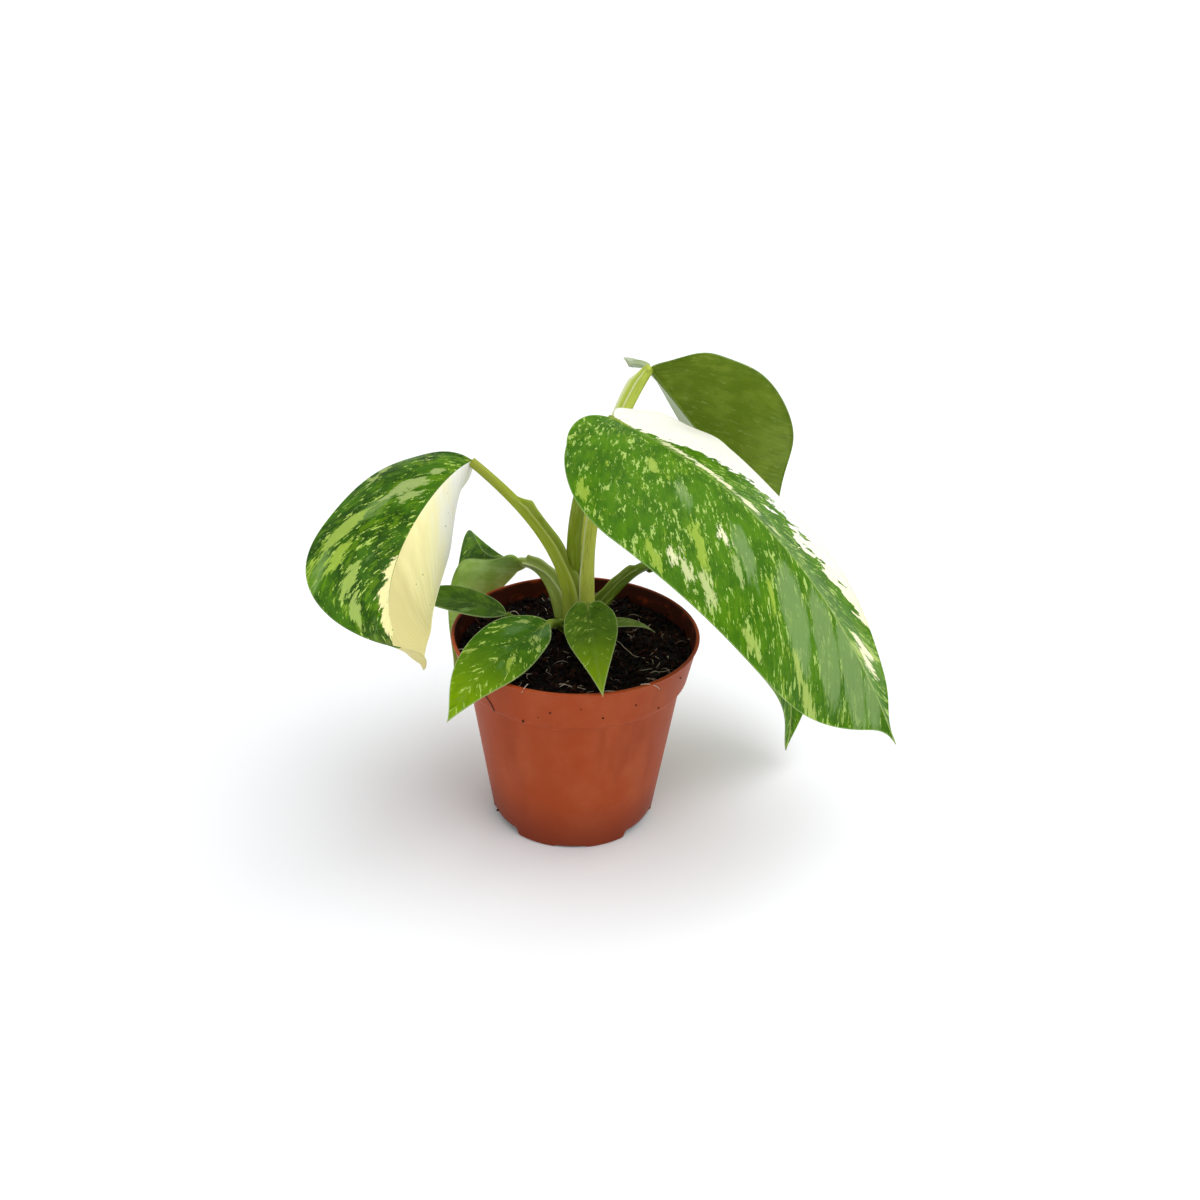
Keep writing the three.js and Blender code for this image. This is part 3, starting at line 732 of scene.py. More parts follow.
@dataclass
class PottingSoil:
    """The filled bed with crumbs, chips and fibres over it."""

    pot: NurseryPot
    level: float = 91.5
    mound_height: float = 3
    mound_spread: float = 16
    relief: float = 1.1
    stem_x: float = 0
    stem_y: float = 11
    clearance: float = 0.3
    stem_clear: float = 9  # litter lies no nearer to the stem's axis than this
    wall_blend: float = 1.5  # the relief grows over this distance from the wall
    seed: int = 2026
    rings: int = 120
    segments: int = 320
    crumbs: int = 1400
    crumb_size: tuple[float, float] = (0.5, 2.2)
    chips: int = 260
    chip_length: tuple[float, float] = (3, 9)
    fibres: int = 120
    fibre_length: tuple[float, float] = (3, 11)
    fibre_radius: tuple[float, float] = (0.12, 0.26)
    finish: PeatMix = PeatMix()

    def height_at(self, x: Array, y: Array) -> Array:
        """The part's soil height: level, a mound about the stem and soft bumps from products of sines.

        Args:
            x: positions.
            y: positions.
        Returns:
            The heights.
        """
        away = np.hypot(x - self.stem_x, y - self.stem_y) / self.mound_spread
        coarse = np.sin(x / 5.1 + 1.3) * np.cos(y / 4.3 - 0.7)
        fine = np.sin(x / 2.3 - y / 3.1) * np.cos(y / 1.9 + x / 4.7 + 2.1)
        bumps = self.relief * (0.6 * coarse + 0.4 * fine)
        return self.level + self.mound_height * np.exp(-away * away) + bumps

    def crumbly(self, x: Array, y: Array) -> Array:
        """The milled surface's fine relief: lumps of 3.5, 1.6 and 0.8 mm, the first two from ridged noise.

        Args:
            x: positions.
            y: positions.
        Returns:
            The heights above the soft bumps.
        """
        lumps = np.abs(lattice_noise(x, y, 3.5, 11))
        crumbs = np.abs(lattice_noise(x, y, 1.6, 12))
        grit = lattice_noise(x, y, 0.8, 13)
        return 1.5 * (lumps - 0.4) + 0.9 * (crumbs - 0.4) + 0.25 * grit

    def edge_radius(self) -> float:
        """The soil's radius where it meets the pot's wall."""
        return float(self.pot.radius_at(self.level)) - self.pot.wall - self.clearance - 0.2

    def bed(self) -> Surface:
        """The closed body of the soil: the pot's inside from below, and a crumbly top as rings to the
        middle.

        Returns:
            The closed surface.
        """
        pot, gap = self.pot, self.pot.wall + self.clearance
        floor = pot.floor_thickness + self.clearance
        ledge = pot.notch_height + pot.wall + self.clearance
        step_top = pot.height - pot.collar_height
        inner_foot = pot.pocket_radius - pot.wall - self.clearance - 1
        shell = [[POLE, floor], [inner_foot, floor], [inner_foot, ledge]]
        shell += [[float(pot.radius_at(z)) - gap, z] for z in (ledge, step_top - pot.step_height, step_top)]
        around = np.linspace(0, 2 * np.pi, self.segments, endpoint=False)[None, :]
        lower = np.array(shell)
        below = polar(lower[:, :1], around, lower[:, 1:])
        radius = self.edge_radius() * (1 - np.linspace(0, 0.9995, self.rings))[:, None]
        x, y = radius * np.cos(around), radius * np.sin(around)
        at_wall = np.clip((self.edge_radius() - radius) / self.wall_blend, 0.3, 1)
        top = np.stack([x, y, self.height_at(x, y) + at_wall * self.crumbly(x, y)], axis=-1)
        return tube(np.concatenate([below, top]))

    def scattered(self, rng: np.random.Generator, count: int) -> Array:
        """Random places on the soil's top, evenly spread over its area and clear of the stem.

        Args:
            rng: the seeded generator.
            count: how many places.
        Returns:
            Points on the soil.
        """
        radius = (self.edge_radius() - 1) * np.sqrt(rng.uniform(0.02, 1, count))
        turn = rng.uniform(0, 2 * np.pi, count)
        x, y = radius * np.cos(turn), radius * np.sin(turn)
        away = np.stack([x - self.stem_x, y - self.stem_y], axis=-1)
        reach = np.linalg.norm(away, axis=-1, keepdims=True)
        clear = np.where(reach < self.stem_clear, away / np.maximum(reach, 0.01) * self.stem_clear, away)
        x, y = clear[:, 0] + self.stem_x, clear[:, 1] + self.stem_y
        return np.stack([x, y, self.height_at(x, y)], axis=-1)

    def grains(self, rng: np.random.Generator, places: Array, stretch: Array, sizes: Array) -> Surface:
        """Twenty-sided grains, each stretched, turned and shaken out of shape.

        Args:
            rng: the seeded generator.
            places: the middle of each grain.
            stretch: the shares of its size along its own three axes.
            sizes: each grain's half length.
        Returns:
            One surface of all grains, with a tint for each.
        """
        golden = (1 + 5 ** 0.5) / 2
        signs = np.array([[a, b] for a in (-1, 1) for b in (-1, 1)])
        flat = np.concatenate([np.zeros((4, 1)), signs * [1, golden]], axis=1)
        corners = unit(np.concatenate([np.roll(flat, k, axis=1) for k in range(3)]))
        distance = np.linalg.norm(corners[:, None] - corners[None], axis=-1)
        near = (distance > 0) & (distance < 1.1)
        a, b, c = np.nonzero(near[:, :, None] & near[:, None, :] & near[None])
        ordered = (a < b) & (b < c)
        faces = np.stack([a, b, c], axis=-1)[ordered]
        first, second, third = (corners[faces[:, k]] for k in range(3))
        inward = np.einsum("ij,ij->i", np.cross(second - first, third - first), first) < 0
        faces[inward] = faces[inward][:, ::-1]
        count = len(places)
        frames, _ = np.linalg.qr(rng.normal(size=(count, 3, 3)))
        frames *= np.sign(np.linalg.det(frames))[:, None, None]
        shaken = corners[None] * rng.uniform(0.75, 1.15, (count, 12, 1)) * stretch
        points = places[:, None] + np.einsum("gij,gkj->gki", frames, shaken) * sizes[:, None, None]
        numbers = faces[None] + 12 * np.arange(count)[:, None, None]
        tint = np.repeat(rng.uniform(0, 1, count) ** 3, 12)
        return Surface(points.reshape(-1, 3), [(numbers.reshape(-1, 3), 0)], {"Tint": tint})

    def strands(self, rng: np.random.Generator, places: Array, lengths: Array, curl: Array,
                lift: Array) -> Surface:
        """Thin curved tubes: each heading turns evenly along the strand, which rises in an arch and sinks.

        Args:
            rng: the seeded generator.
            places: where each strand starts.
            lengths: their lengths.
            curl: how far each turns from end to end, in radians.
            lift: how high each arches.
        Returns:
            One surface of all strands, with a tint for each.
        """
        stations, sides, count = 10, 5, len(places)
        t = np.linspace(0, 1, stations)[None, :]
        heading = rng.uniform(0, 2 * np.pi, (count, 1)) + curl[:, None] * t
        step = lengths[:, None] / (stations - 1)
        x = np.cumsum(np.cos(heading) * step, axis=1) + places[:, :1]
        y = np.cumsum(np.sin(heading) * step, axis=1) + places[:, 1:2]
        inside = np.minimum(1, (self.edge_radius() + 0.8) / np.hypot(x, y))
        x, y = x * inside, y * inside
        z = self.height_at(x, y) + 0.35 + lift[:, None] * np.sin(np.pi * t)
        path = np.stack([x, y, z], axis=-1)
        forward = unit(np.gradient(path, axis=1))
        side = unit(np.cross(forward, [0, 0, 1]))
        over = np.cross(side, forward)
        thick = rng.uniform(*self.fibre_radius, (count, 1)) * (0.35 + 0.65 * np.sin(np.pi * (0.1 + 0.8 * t)))
        turn = np.linspace(0, 2 * np.pi, sides, endpoint=False)
        ring = side[:, :, None] * np.cos(turn)[:, None] + over[:, :, None] * np.sin(turn)[:, None]
        points = path[:, :, None] + ring * thick[:, :, None, None]
        quads = grid_faces(stations, sides, wrap=True)
        per = stations * sides
        ends = np.array([[0, k + 1, k] for k in range(1, sides - 1)])
        far = ends[:, [0, 2, 1]] + per - sides
        shift = per * np.arange(count)[:, None, None]
        blocks = [((faces[None] + shift).reshape(-1, faces.shape[1]), 0) for faces in (quads, ends, far)]
        tint = np.repeat(rng.uniform(0, 1, count) ** 2, per)
        return Surface(points.reshape(-1, 3), blocks, {"Tint": tint}).turned_outwards()

    def build(self) -> None:
        """Makes the bed and what lies on it."""
        soil, strand = self.finish.soil(), self.finish.strand()
        finish_piece(self.bed().piece("soil_bed", [soil]), "potting_soil", "soil")
        rng = np.random.default_rng(self.seed)
        crumb_places = self.scattered(rng, self.crumbs)
        crumb_places[:, 2] += rng.uniform(-0.2, 0.9, self.crumbs)
        crumb_sizes = mix(*self.crumb_size, rng.uniform(0, 1, self.crumbs) ** 2)
        crumb_stretch = rng.uniform(0.6, 1, (self.crumbs, 1, 3))
        crumbs = self.grains(rng, crumb_places, crumb_stretch, crumb_sizes)
        chip_places = self.scattered(rng, self.chips)
        chip_places[:, 2] += rng.uniform(0.1, 1.0, self.chips)
        chip_stretch = np.stack([
            np.ones(self.chips), rng.uniform(0.18, 0.4, self.chips), rng.uniform(0.1, 0.2, self.chips),
        ], axis=-1)[:, None]
        chips = self.grains(rng, chip_places, chip_stretch, rng.uniform(*self.chip_length, self.chips) / 2)
        finish_piece(joined([crumbs, chips]).piece("soil_crumbs", [soil]), "potting_soil")
        lengths = mix(*self.fibre_length, rng.uniform(0, 1, self.fibres) ** 2)
        strands = self.strands(
            rng, self.scattered(rng, self.fibres), lengths,
            rng.uniform(-2.6, 2.6, self.fibres), rng.uniform(0.2, 1.6, self.fibres),
        )
        finish_piece(strands.piece("soil_fibres", [strand]), "potting_soil")


@dataclass
class Litter:
    """Crumbs and root hairs that stick to the pot, and a few long roots that lie on the soil.

    Places on the pot are a turn from the front, in degrees, and a height. A crumb's size comes third.
    """

    pot: NurseryPot
    soil: PottingSoil
    crumbs: tuple = (
        (-24, 79.5, 0.6), (-10, 87.8, 0.45), (14.5, 84.8, 0.45), (30.5, 89, 0.4), (45.8, 81.2, 0.45),
        (59.3, 92.5, 0.4), (-65, 5.2, 0.6), (-71, 88, 0.5), (4, 91, 0.3), (-16, 84, 0.3),
    )
    hairs: tuple = (  # each hair's route, radius and darkness
        (((-46, 87.5), (-44.3, 83.5), (-41.8, 83.6), (-41.5, 78.6)), 0.32, 1.0),
        (((-22.6, 97.5), (-21.8, 99), (-21, 101.2), (-19.5, 103)), 0.18, 0.2),
        (((31, 101.2), (35, 101), (39, 98.5), (43, 94)), 0.2, 0.2),
    )
    roots: tuple = (  # each root's route in x and y, radius and darkness
        (((20, 6), (24, -2), (26, -8), (34, -11)), 0.2, 0.1),
        (((26, 31), (30, 33), (38, 24), (40, 30)), 0.16, 0.5),
        (((-38, -20), (-30, -24), (-26, -30), (-17, -28)), 0.18, 0.0),
        (((30, -24), (34, -28), (38, -22), (41, -16)), 0.18, 0.2),
        (((-8, -40), (-4, -36), (0, -38), (6, -42)), 0.2, 0.0),
    )
    hair_proud: float = 0.2  # how far a hair's middle stands off the wall
    finish: PeatMix = PeatMix()

    def on_wall(self, turn: Array, z: Array, proud: float) -> Array:
        """Points that stand a little proud of the pot's wall, at angles from the front and heights."""
        angle = np.radians(np.asarray(turn, float) - 90)
        return polar(self.pot.radius_at(z) + proud, angle, z)

    def crumb(self, turn: float, z: float, size: float) -> Surface:
        """One crumb: a ball of eight by six points, shaken out of shape by sines.

        Args:
            turn: degrees from the front.
            z: its height on the wall.
            size: its radius.
        Returns:
            The closed crumb.
        """
        down = np.linspace(0.35, np.pi - 0.35, 6)[:, None]
        around = np.linspace(0, 2 * np.pi, 8, endpoint=False)[None, :]
        lumpy = size * (1 + 0.25 * np.sin(3 * around + turn) * np.sin(2 * down + z))
        middle = self.on_wall(np.array(turn), np.array(z), 0.3 * size)
        crumb = tube(middle + polar(lumpy * np.sin(down), around, lumpy * np.cos(down)))
        crumb.fields["Tint"] = np.full(len(crumb.points), 0.9)
        return crumb

    def on_soil(self, x: Array, y: Array) -> Array:
        """Points that stand a little proud of the soil and rise and sink along the way."""
        lift = 0.9 + 0.5 * np.sin(np.linspace(0, 2 * np.pi, len(x)))
        return np.stack([x, y, self.soil.height_at(x, y) + lift], axis=-1)

    def hair(self, path: Array, radius: float, darkness: float) -> Surface:
        """One root hair: a thin round tube along a path.

        Args:
            path: points along the hair.
            radius: its radius.
            darkness: its tint, from pale straw at 0 to brown at 1.
        Returns:
            The closed tube.
        """
        forward = unit(np.gradient(path, axis=0))
        side = unit(np.cross(forward, [0, 0, 1.0]))
        over = np.cross(side, forward)
        turn = np.linspace(0, 2 * np.pi, 6, endpoint=False)
        ring = side[:, None] * np.cos(turn)[:, None] + over[:, None] * np.sin(turn)[:, None]
        hair = tube(path[:, None] + radius * ring)
        hair.fields["Tint"] = np.full(len(hair.points), darkness)
        return hair

    def build(self) -> None:
        """Makes the crumbs, the hairs and the roots."""
        crumbs = joined([self.crumb(*place) for place in self.crumbs])
        finish_piece(crumbs.piece("stray_crumbs", [self.finish.soil()]), "potting_soil")
        t = np.linspace(0, 1, 14)
        strands = []
        for route, radius, darkness in self.hairs:
            turn, height = cubic(np.array(route), t).T
            strands.append(self.hair(self.on_wall(turn, height, self.hair_proud), radius, darkness))
        for route, radius, darkness in self.roots:
            x, y = cubic(np.array(route), t).T
            strands.append(self.hair(self.on_soil(x, y), radius, darkness))
        hairs = joined(strands)
        finish_piece(hairs.piece("stray_roots", [self.finish.strand()]), "potting_soil")


# The leaves


@dataclass(frozen=True)
class Face:
    """How a face shows the pattern: the shares of the greyish-green patches, partly painted sheen, and of
    the pale patches, its bump and its roughness.
    """

    grey_and_sheen_patches: float
    patches: float
    bump: float
    roughness: tuple[float, float]


class Side(Enum):
    """The two faces of a blade, waxy above and dull below."""

    UPPER = Face(0.7, 0.88, 0.3, (0.36, 0.5))
    UNDER = Face(0.4, 0.75, 0.6, (0.55, 0.7))


@dataclass(frozen=True)
class Patch:
    """A patch of the pattern: its half, its middle as shares of margin and width, its half sizes and tone.

    wide is across the side veins and long is along them, in millimetres. tone runs from frosted green at 0
    over pale green at 0.5 to cream at 1.
    """

    half: int
    u: float
    v: float
    wide: float
    long: float
    tone: float = 0.5


@dataclass(frozen=True)
class LeafPaint:
    """The colours of one blade and how much of it is pale.

    cream_from gives, for each half, how far out the cream begins as points (u, v).
    """

    deep: str = "#2c5602"
    mid: str = "#4a7a05"
    bright: str = "#6d960d"
    pale: str = "#98b440"
    fleck: str = "#b2cc62"
    # greyish green of patches that are partly the leaf's own colour and partly painted sheen
    grey_and_sheen_colour: str = "#789852"
    frost: str = "#a3b486"
    cream: str = "#faf1b4"
    yellow: str = "#d6cb8e"
    white: str = "#faf8ee"
    vein: str = "#a8bd6c"
    margin: str = "#a9bd7c"
    tip: str = "#7c9a1c"
    under: str = "#6d8a3c"
    under_pale: str = "#8ba35a"
    streaks: float = 0.5
    flecks: float = 0.5
    greyness: float = 0.5
    tip_share: float = 0.0
    line_share: float = 0.7
    margin_share: float = 0.4
    glow: float = 0.2  # how much of the light passes through the tissue
    mottled: float = 0.45  # how strongly the brighter mottles show
    tear: float = 34  # how far the edges of patches are torn, in millimetres for a noise of 1
    rend: float = 42  # the same for the great pale sectors
    cream_from: tuple[tuple[tuple[float, float], ...], ...] = (((0, NOWHERE),), ((0, NOWHERE),))
    patches: tuple[Patch, ...] = ()
    # greyish-green patches, partly painted sheen
    grey_and_sheen_patches: tuple[Patch, ...] = ()
    seed: float = 0.0


@dataclass(frozen=True)
class LeafTissue:
    """Living leaf tissue, with pale sectors that hold no green.

    The sizes of its patterns are across and along the side veins, or on the flat blade.
    """

    name: str
    paint: LeafPaint
    side: Side
    clouds: Lumps = Lumps((13, 13, 13), 1, 4, rise=(0.36, 0.62))  # flames of dark and bright green
    under_clouds: Lumps = Lumps((13, 13, 13), 1, 4, rise=(0.38, 0.66))
    under_streaks: Lumps = Lumps((2.2, 5, 1), 4, 5, 0.8, (0.59, 0.62, 0.55))
    tip_from: tuple[float, float] = (0.3, 1.0)  # the tip's colour grows between these shares of the midrib
    mottles: Lumps = Lumps((4.2, 8, 1), 7, 6, 0.72, (0.52, 0.555))  # brighter, run out along the side veins
    bloom: Lumps = Lumps((9, 20, 1), 2, 5, 0.6, (0.68, 0.75, 0.5))  # greyish green, partly painted sheen
    grey_and_sheen_gain: float = 0.16  # how much lower its rise is for a greyness of 1
    regions: Lumps = Lumps((16, 16, 16), 5, 2, rise=(0.56, 0.64))  # gather the marbled streaks
    region_gain: float = 0.2
    streaks: Lumps = Lumps((2.4, 6, 1), 3, 5, 0.78, (0.575, 0.6, 0.8))
    flecks: Lumps = Lumps((2.3, 5.2, 1), 6, 3, 0.75, (0.775, 0.787, 0.9))  # each 1.2 mm wide
    fleck_gain: float = 0.07
    crowds: Lumps = Lumps((12, 12, 12), 8, 1)  # clusters of flecks
    crowding: float = 0.2
    ivory: Lumps = Lumps((9, 26, 1), 9, 2)  # sways the cream's whiteness
    ivory_reach: float = 24
    cream_from: tuple[float, float] = (0, 26)  # steps of whiteness from yellow to cream
    white_from: tuple[float, float] = (20, 44)  # and from cream to white
    bands: Lumps = Lumps((3, 20, 1), 10, 3, rise=(0.6, 0.75, 0.3))  # faint yellow in the cream
    specks: Lumps = Lumps((1.7, 1.7, 1.7), 11, 0, rise=(0.83, 0.86, 0.7))
    speck: str = "#5f5a35"
    rib_soft: float = 0.3  # the midrib's lines fade over this width
    rib_dark: float = 0.5  # how strong its dark line is beside the pale ones
    line_reach: float = 0.4  # half a pale line, and the margin's line
    fray: Lumps = Lumps((4, 4, 1), 13, 3, rise=(0.3, 0.5))  # breaks the pale lines
    margin_soft: tuple[float, float] = (-0.1, 0.15)
    shreds: Lumps = Lumps((3.2, 7.5, 1), 12, 6, 0.75)  # tear the edges of the greyish-green and the pale patches
    rents: Lumps = Lumps((5.5, 8, 1), 16, 6, 0.6)  # tear those of the great pale sectors
    grey_and_sheen_soft: float = 2.5  # half the width over which an edge fades
    patch_soft: float = 0.35
    sector_soft: float = 0.3
    vein_spacing: float = 4.2  # the side veins show as a faint quilting
    skin: Lumps = Lumps((0.8, 0.8, 0.8), 14, 3)
    skin_height: float = 0.35  # beside the quilting's
    gloss: Lumps = Lumps((6, 12, 1), 15, 3)

    def torn(self, tree: Tree, name: str, noise: Output, reach: float, soft: float,
             top: float = 1.0) -> tuple:
        """The limit of a field whose edge is torn along the side veins.

        Args:
            tree: the material's node tree.
            name: the mesh's field, above 0 inside, in millimetres from the edge.
            noise: runs along the veins.
            reach: how far the tearing goes, in millimetres for a noise of 1.
            soft: half the width over which the edge fades, in millimetres.
            top: the share inside.
        Returns:
            The limit, as coated takes it.
        """
        value = (add_node(tree, "ShaderNodeAttribute", attribute_name=name), "Fac")
        about_zero = add_node(tree, "ShaderNodeMath", {0: noise, 1: 0.5}, operation="SUBTRACT")
        moved = add_node(tree, "ShaderNodeMath", {
            0: about_zero, 1: reach, 2: value,
        }, operation="MULTIPLY_ADD")
        return (moved, -soft, soft, top)

    def greens(self, tree: Tree, veins: Output, flat: Output) -> Output:
        """The green part: flames of dark and bright green, greyish-green patches that are partly painted
        sheen, marbled streaks and fine flecks.

        Args:
            tree: the material's node tree.
            veins: the position across and along the side veins.
            flat: the position on the flat blade.
        Returns:
            The colour's output.
        """
        paint, seed = self.paint, self.paint.seed
        if self.side is Side.UNDER:
            colour = self.under_clouds.over(tree, flat, paint.under, paint.under_pale, seed)
            return self.under_streaks.over(tree, veins, colour, paint.pale, seed)
        colour = self.clouds.over(tree, flat, paint.deep, paint.mid, seed)
        run = (add_node(tree, "ShaderNodeAttribute", attribute_name="Run"), "Fac")
        colour = coated(tree, colour, paint.tip, (run, *self.tip_from, paint.tip_share))
        rise = (*self.mottles.rise, paint.mottled)
        colour = self.mottles.over(tree, veins, colour, paint.bright, seed, rise)
        # Greyish-green clouds, partly painted sheen
        rise = self.bloom.lowered(self.grey_and_sheen_gain * paint.greyness)
        colour = self.bloom.over(tree, veins, colour, paint.grey_and_sheen_colour, seed, rise)
        regions = self.regions.on(tree, flat, seed)
        rise = self.regions.lowered(self.region_gain * paint.streaks)
        streaks = self.streaks.on(tree, veins, seed)
        colour = coated(tree, colour, paint.pale, (streaks, *self.streaks.rise), (regions, *rise))
        small, crowds = self.flecks.on(tree, veins, seed), self.crowds.on(tree, flat, seed)
        raised = add_node(tree, "ShaderNodeMath", {
            0: crowds, 1: self.crowding, 2: small,
        }, operation="MULTIPLY_ADD")
        rise = self.flecks.lowered(self.fleck_gain * paint.flecks)
        return coated(tree, colour, paint.fleck, (raised, *rise))

    def creams(self, tree: Tree, veins: Output, flat: Output) -> Output:
        """The cream part: ivory by the midrib, whiter outwards and at the base, with faint yellow bands and
        tiny dark specks.

        Args:
            tree: the material's node tree.
            veins: the position across and along the side veins.
            flat: the position on the flat blade.
        Returns:
            The colour's output.
        """
        paint, seed = self.paint, self.paint.seed
        whiteness = (add_node(tree, "ShaderNodeAttribute", attribute_name="Whiteness"), "Fac")
        swayed = add_node(tree, "ShaderNodeMath", {
            0: self.ivory.on(tree, veins, seed), 1: self.ivory_reach, 2: whiteness,
        }, operation="MULTIPLY_ADD")
        colour = coated(tree, paint.yellow, paint.cream, (swayed, *self.cream_from))
        colour = coated(tree, colour, paint.white, (swayed, *self.white_from))
        colour = self.bands.over(tree, veins, colour, paint.yellow, seed)
        return self.specks.over(tree, flat, colour, self.speck, seed)

    def ribbed(self, tree: Tree, colour: Output, veins: Output) -> Output:
        """Draws the midrib, a dark line between two thin pale ones, and the thin pale line round the margin.

        Args:
            tree: the material's node tree.
            colour: the colour so far.
            veins: the position across and along the side veins.
        Returns:
            The colour's output.
        """
        paint = self.paint
        rib, width, edge = (
            (add_node(tree, "ShaderNodeAttribute", attribute_name=name), "Fac")
            for name in ("Rib", "RibWidth", "Edge")
        )
        inside = add_node(tree, "ShaderNodeMath", {0: width, 1: rib}, operation="SUBTRACT")
        dark = (inside, 0.0, self.rib_soft, self.rib_dark * paint.line_share)
        colour = coated(tree, colour, paint.deep, dark)
        away = add_node(tree, "ShaderNodeMath", {0: inside}, operation="ABSOLUTE")
        flank, from_edge = (
            add_node(tree, "ShaderNodeMath", {0: self.line_reach, 1: value}, operation="SUBTRACT")
            for value in (away, edge)
        )
        fray = self.fray.on(tree, veins, paint.seed)
        colour = coated(
            tree, colour, paint.vein,
            (flank, 0.0, self.rib_soft, paint.line_share), (fray, *self.fray.rise))
        return coated(tree, colour, paint.margin, (from_edge, *self.margin_soft, paint.margin_share))

    def material(self) -> bpy.types.Material:
        """Builds the material of one face of the blade.

        Returns:
            The material.
        """
        paint, seed, face = self.paint, self.paint.seed, self.side.value
        material, tree = new_material(f"Leaf tissue, grown, {self.side.name.lower()} face, {self.name}")
        veins = add_node(tree, "ShaderNodeUVMap", uv_map="Veins")
        flat = add_node(tree, "ShaderNodeUVMap", uv_map="Flat")
        tone = (add_node(tree, "ShaderNodeAttribute", attribute_name="Tone"), "Fac")
        shreds, rents = self.shreds.on(tree, veins, seed), self.rents.on(tree, veins, seed)
        colour = self.greens(tree, veins, flat)
        # Placed greyish-green patches, partly painted sheen
        grey_and_sheen_patches = self.torn(tree, "Bloom", shreds, paint.tear, self.grey_and_sheen_soft, face.grey_and_sheen_patches)
        colour = coated(tree, colour, paint.grey_and_sheen_colour, grey_and_sheen_patches)
        toned = coated(tree, paint.frost, paint.pale, (tone, 0.0, 0.5))
        toned = coated(tree, toned, paint.cream, (tone, 0.5, 1.0))
        patches = self.torn(tree, "Patch", shreds, paint.tear, self.patch_soft, face.patches)
        colour = coated(tree, colour, toned, patches)
        sector = self.torn(tree, "Sector", rents, paint.rend, self.sector_soft)
        colour = coated(tree, colour, self.creams(tree, veins, flat), sector)
        colour = self.ribbed(tree, colour, veins)
        quilting = add_node(tree, "ShaderNodeTexWave", {
            "Vector": add_node(tree, "ShaderNodeMapping", {
                "Vector": veins, "Scale": (1 / self.vein_spacing, 0.012, 1.0),
            }),
            "Scale": 0.32, "Distortion": 1.2, "Detail": 2.0,
        }, wave_type="BANDS", bands_direction="X", wave_profile="SIN")
        height = add_node(tree, "ShaderNodeMath", {
            0: self.skin.on(tree, flat, seed), 1: self.skin_height, 2: (quilting, "Fac"),
        }, operation="MULTIPLY_ADD")
        finish_material(tree, {
            "Base Color": colour, "IOR": 1.42, "Specular IOR Level": 0.1, "Subsurface Weight": paint.glow,
            "Subsurface Radius": (0.8, 1.0, 0.35), "Subsurface Scale": 0.0014,
        }, (height, face.bump, 0.0003), (self.gloss.on(tree, veins, seed), *NOISE_SPAN, *face.roughness))
        return material


@dataclass(frozen=True)
class PetiolePaint:
    """The colours of a leaf stalk, from the crown up, and of its sheath's edge; the groove colour tints fine
    dark streaks and is painted as shade into the sheath's hollow.
    """

    foot: str = "#9aad48"
    green: str = "#869a20"
    top: str = "#8f9c3a"
    streak: str = "#aaba5c"
    edge: str = "#a9b860"
    # dark green of fine streaks, also painted as shade into the sheath's hollow
    groove: str = "#4f6208"
    seed: float = 0.0


@dataclass(frozen=True)
class StalkTissue:
    """The stalk's skin: smooth, juicy and finely streaked along its length."""

    name: str
    paint: PetiolePaint
    green_from: tuple[float, float] = (0.0, 0.22)  # shares of the stalk's length
    top_from: tuple[float, float] = (0.65, 1.0)
    streaks: Lumps = Lumps((1.1, 1.1, 14), 1, 3, rise=(0.52, 0.66, 0.4))
    bands: Lumps = Lumps((3, 3, 40), 2, 2, rise=(0.54, 0.66, 0.4))  # broader and pale
    dark: Lumps = Lumps((0.7, 0.7, 12), 3, 2, rise=(0.6, 0.7, 0.3))
    groove_shade_from: tuple[float, float, float] = (0.3, 0.9, 0.75)
    edge_from: tuple[float, float, float] = (0.3, 0.95, 0.7)
    roughness: tuple[float, float] = (0.36, 0.5)

    def material(self) -> bpy.types.Material:
        """Builds the stalk's material.

        Returns:
            The material.
        """
        paint, seed = self.paint, self.paint.seed
        material, tree = new_material(f"Petiole tissue, grown, {self.name}")
        fibre = (add_node(tree, "ShaderNodeAttribute", attribute_name="Fibre"), "Vector")
        along, wing, groove = (
            (add_node(tree, "ShaderNodeAttribute", attribute_name=name), "Fac")
            for name in ("Along", "Wing", "Groove")
        )
        colour = coated(tree, paint.foot, paint.green, (along, *self.green_from))
        colour = coated(tree, colour, paint.top, (along, *self.top_from))
        streaks, bands = self.streaks.on(tree, fibre, seed), self.bands.on(tree, fibre, seed)
        colour = coated(tree, colour, paint.streak, (streaks, *self.streaks.rise))
        colour = coated(tree, colour, paint.foot, (bands, *self.bands.rise))
        colour = self.dark.over(tree, fibre, colour, paint.groove, seed)
        # Painted shade in the hollow between the sheath's flaps
        colour = coated(tree, colour, paint.groove, (groove, *self.groove_shade_from))
        colour = coated(tree, colour, paint.edge, (wing, *self.edge_from))
        finish_material(tree, {
            "Base Color": colour, "IOR": 1.4, "Specular IOR Level": 0.22, "Subsurface Weight": 0.2,
            "Subsurface Radius": (0.9, 1.0, 0.4), "Subsurface Scale": 0.0015,
        }, (streaks, 0.3, 0.0003), (bands, *NOISE_SPAN, *self.roughness))
        return material


@dataclass(frozen=True)
class Outline:
    """A blade's outline in shares of its length, and lobe_width and tip_width of its half width."""

    lobe: tuple[float, float] = (0.08, 0.08)
    lobe_width: float = 0.6
    widest: float = 0.36
    shoulder: float = 0.24
    flank: float = 0.3
    tip: float = 0.1
    tip_width: float = 0.09
    sweep: float = 0.55


@dataclass(frozen=True)
class Wing:
    """The sheath along a stalk: the share of the stalk it runs to, its width and side, at its upper end the
    share top of that width, and the ear that it ends in."""

    until: float
    width: float
    side: int
    top: float = 0.7
    ear: float = 0.05


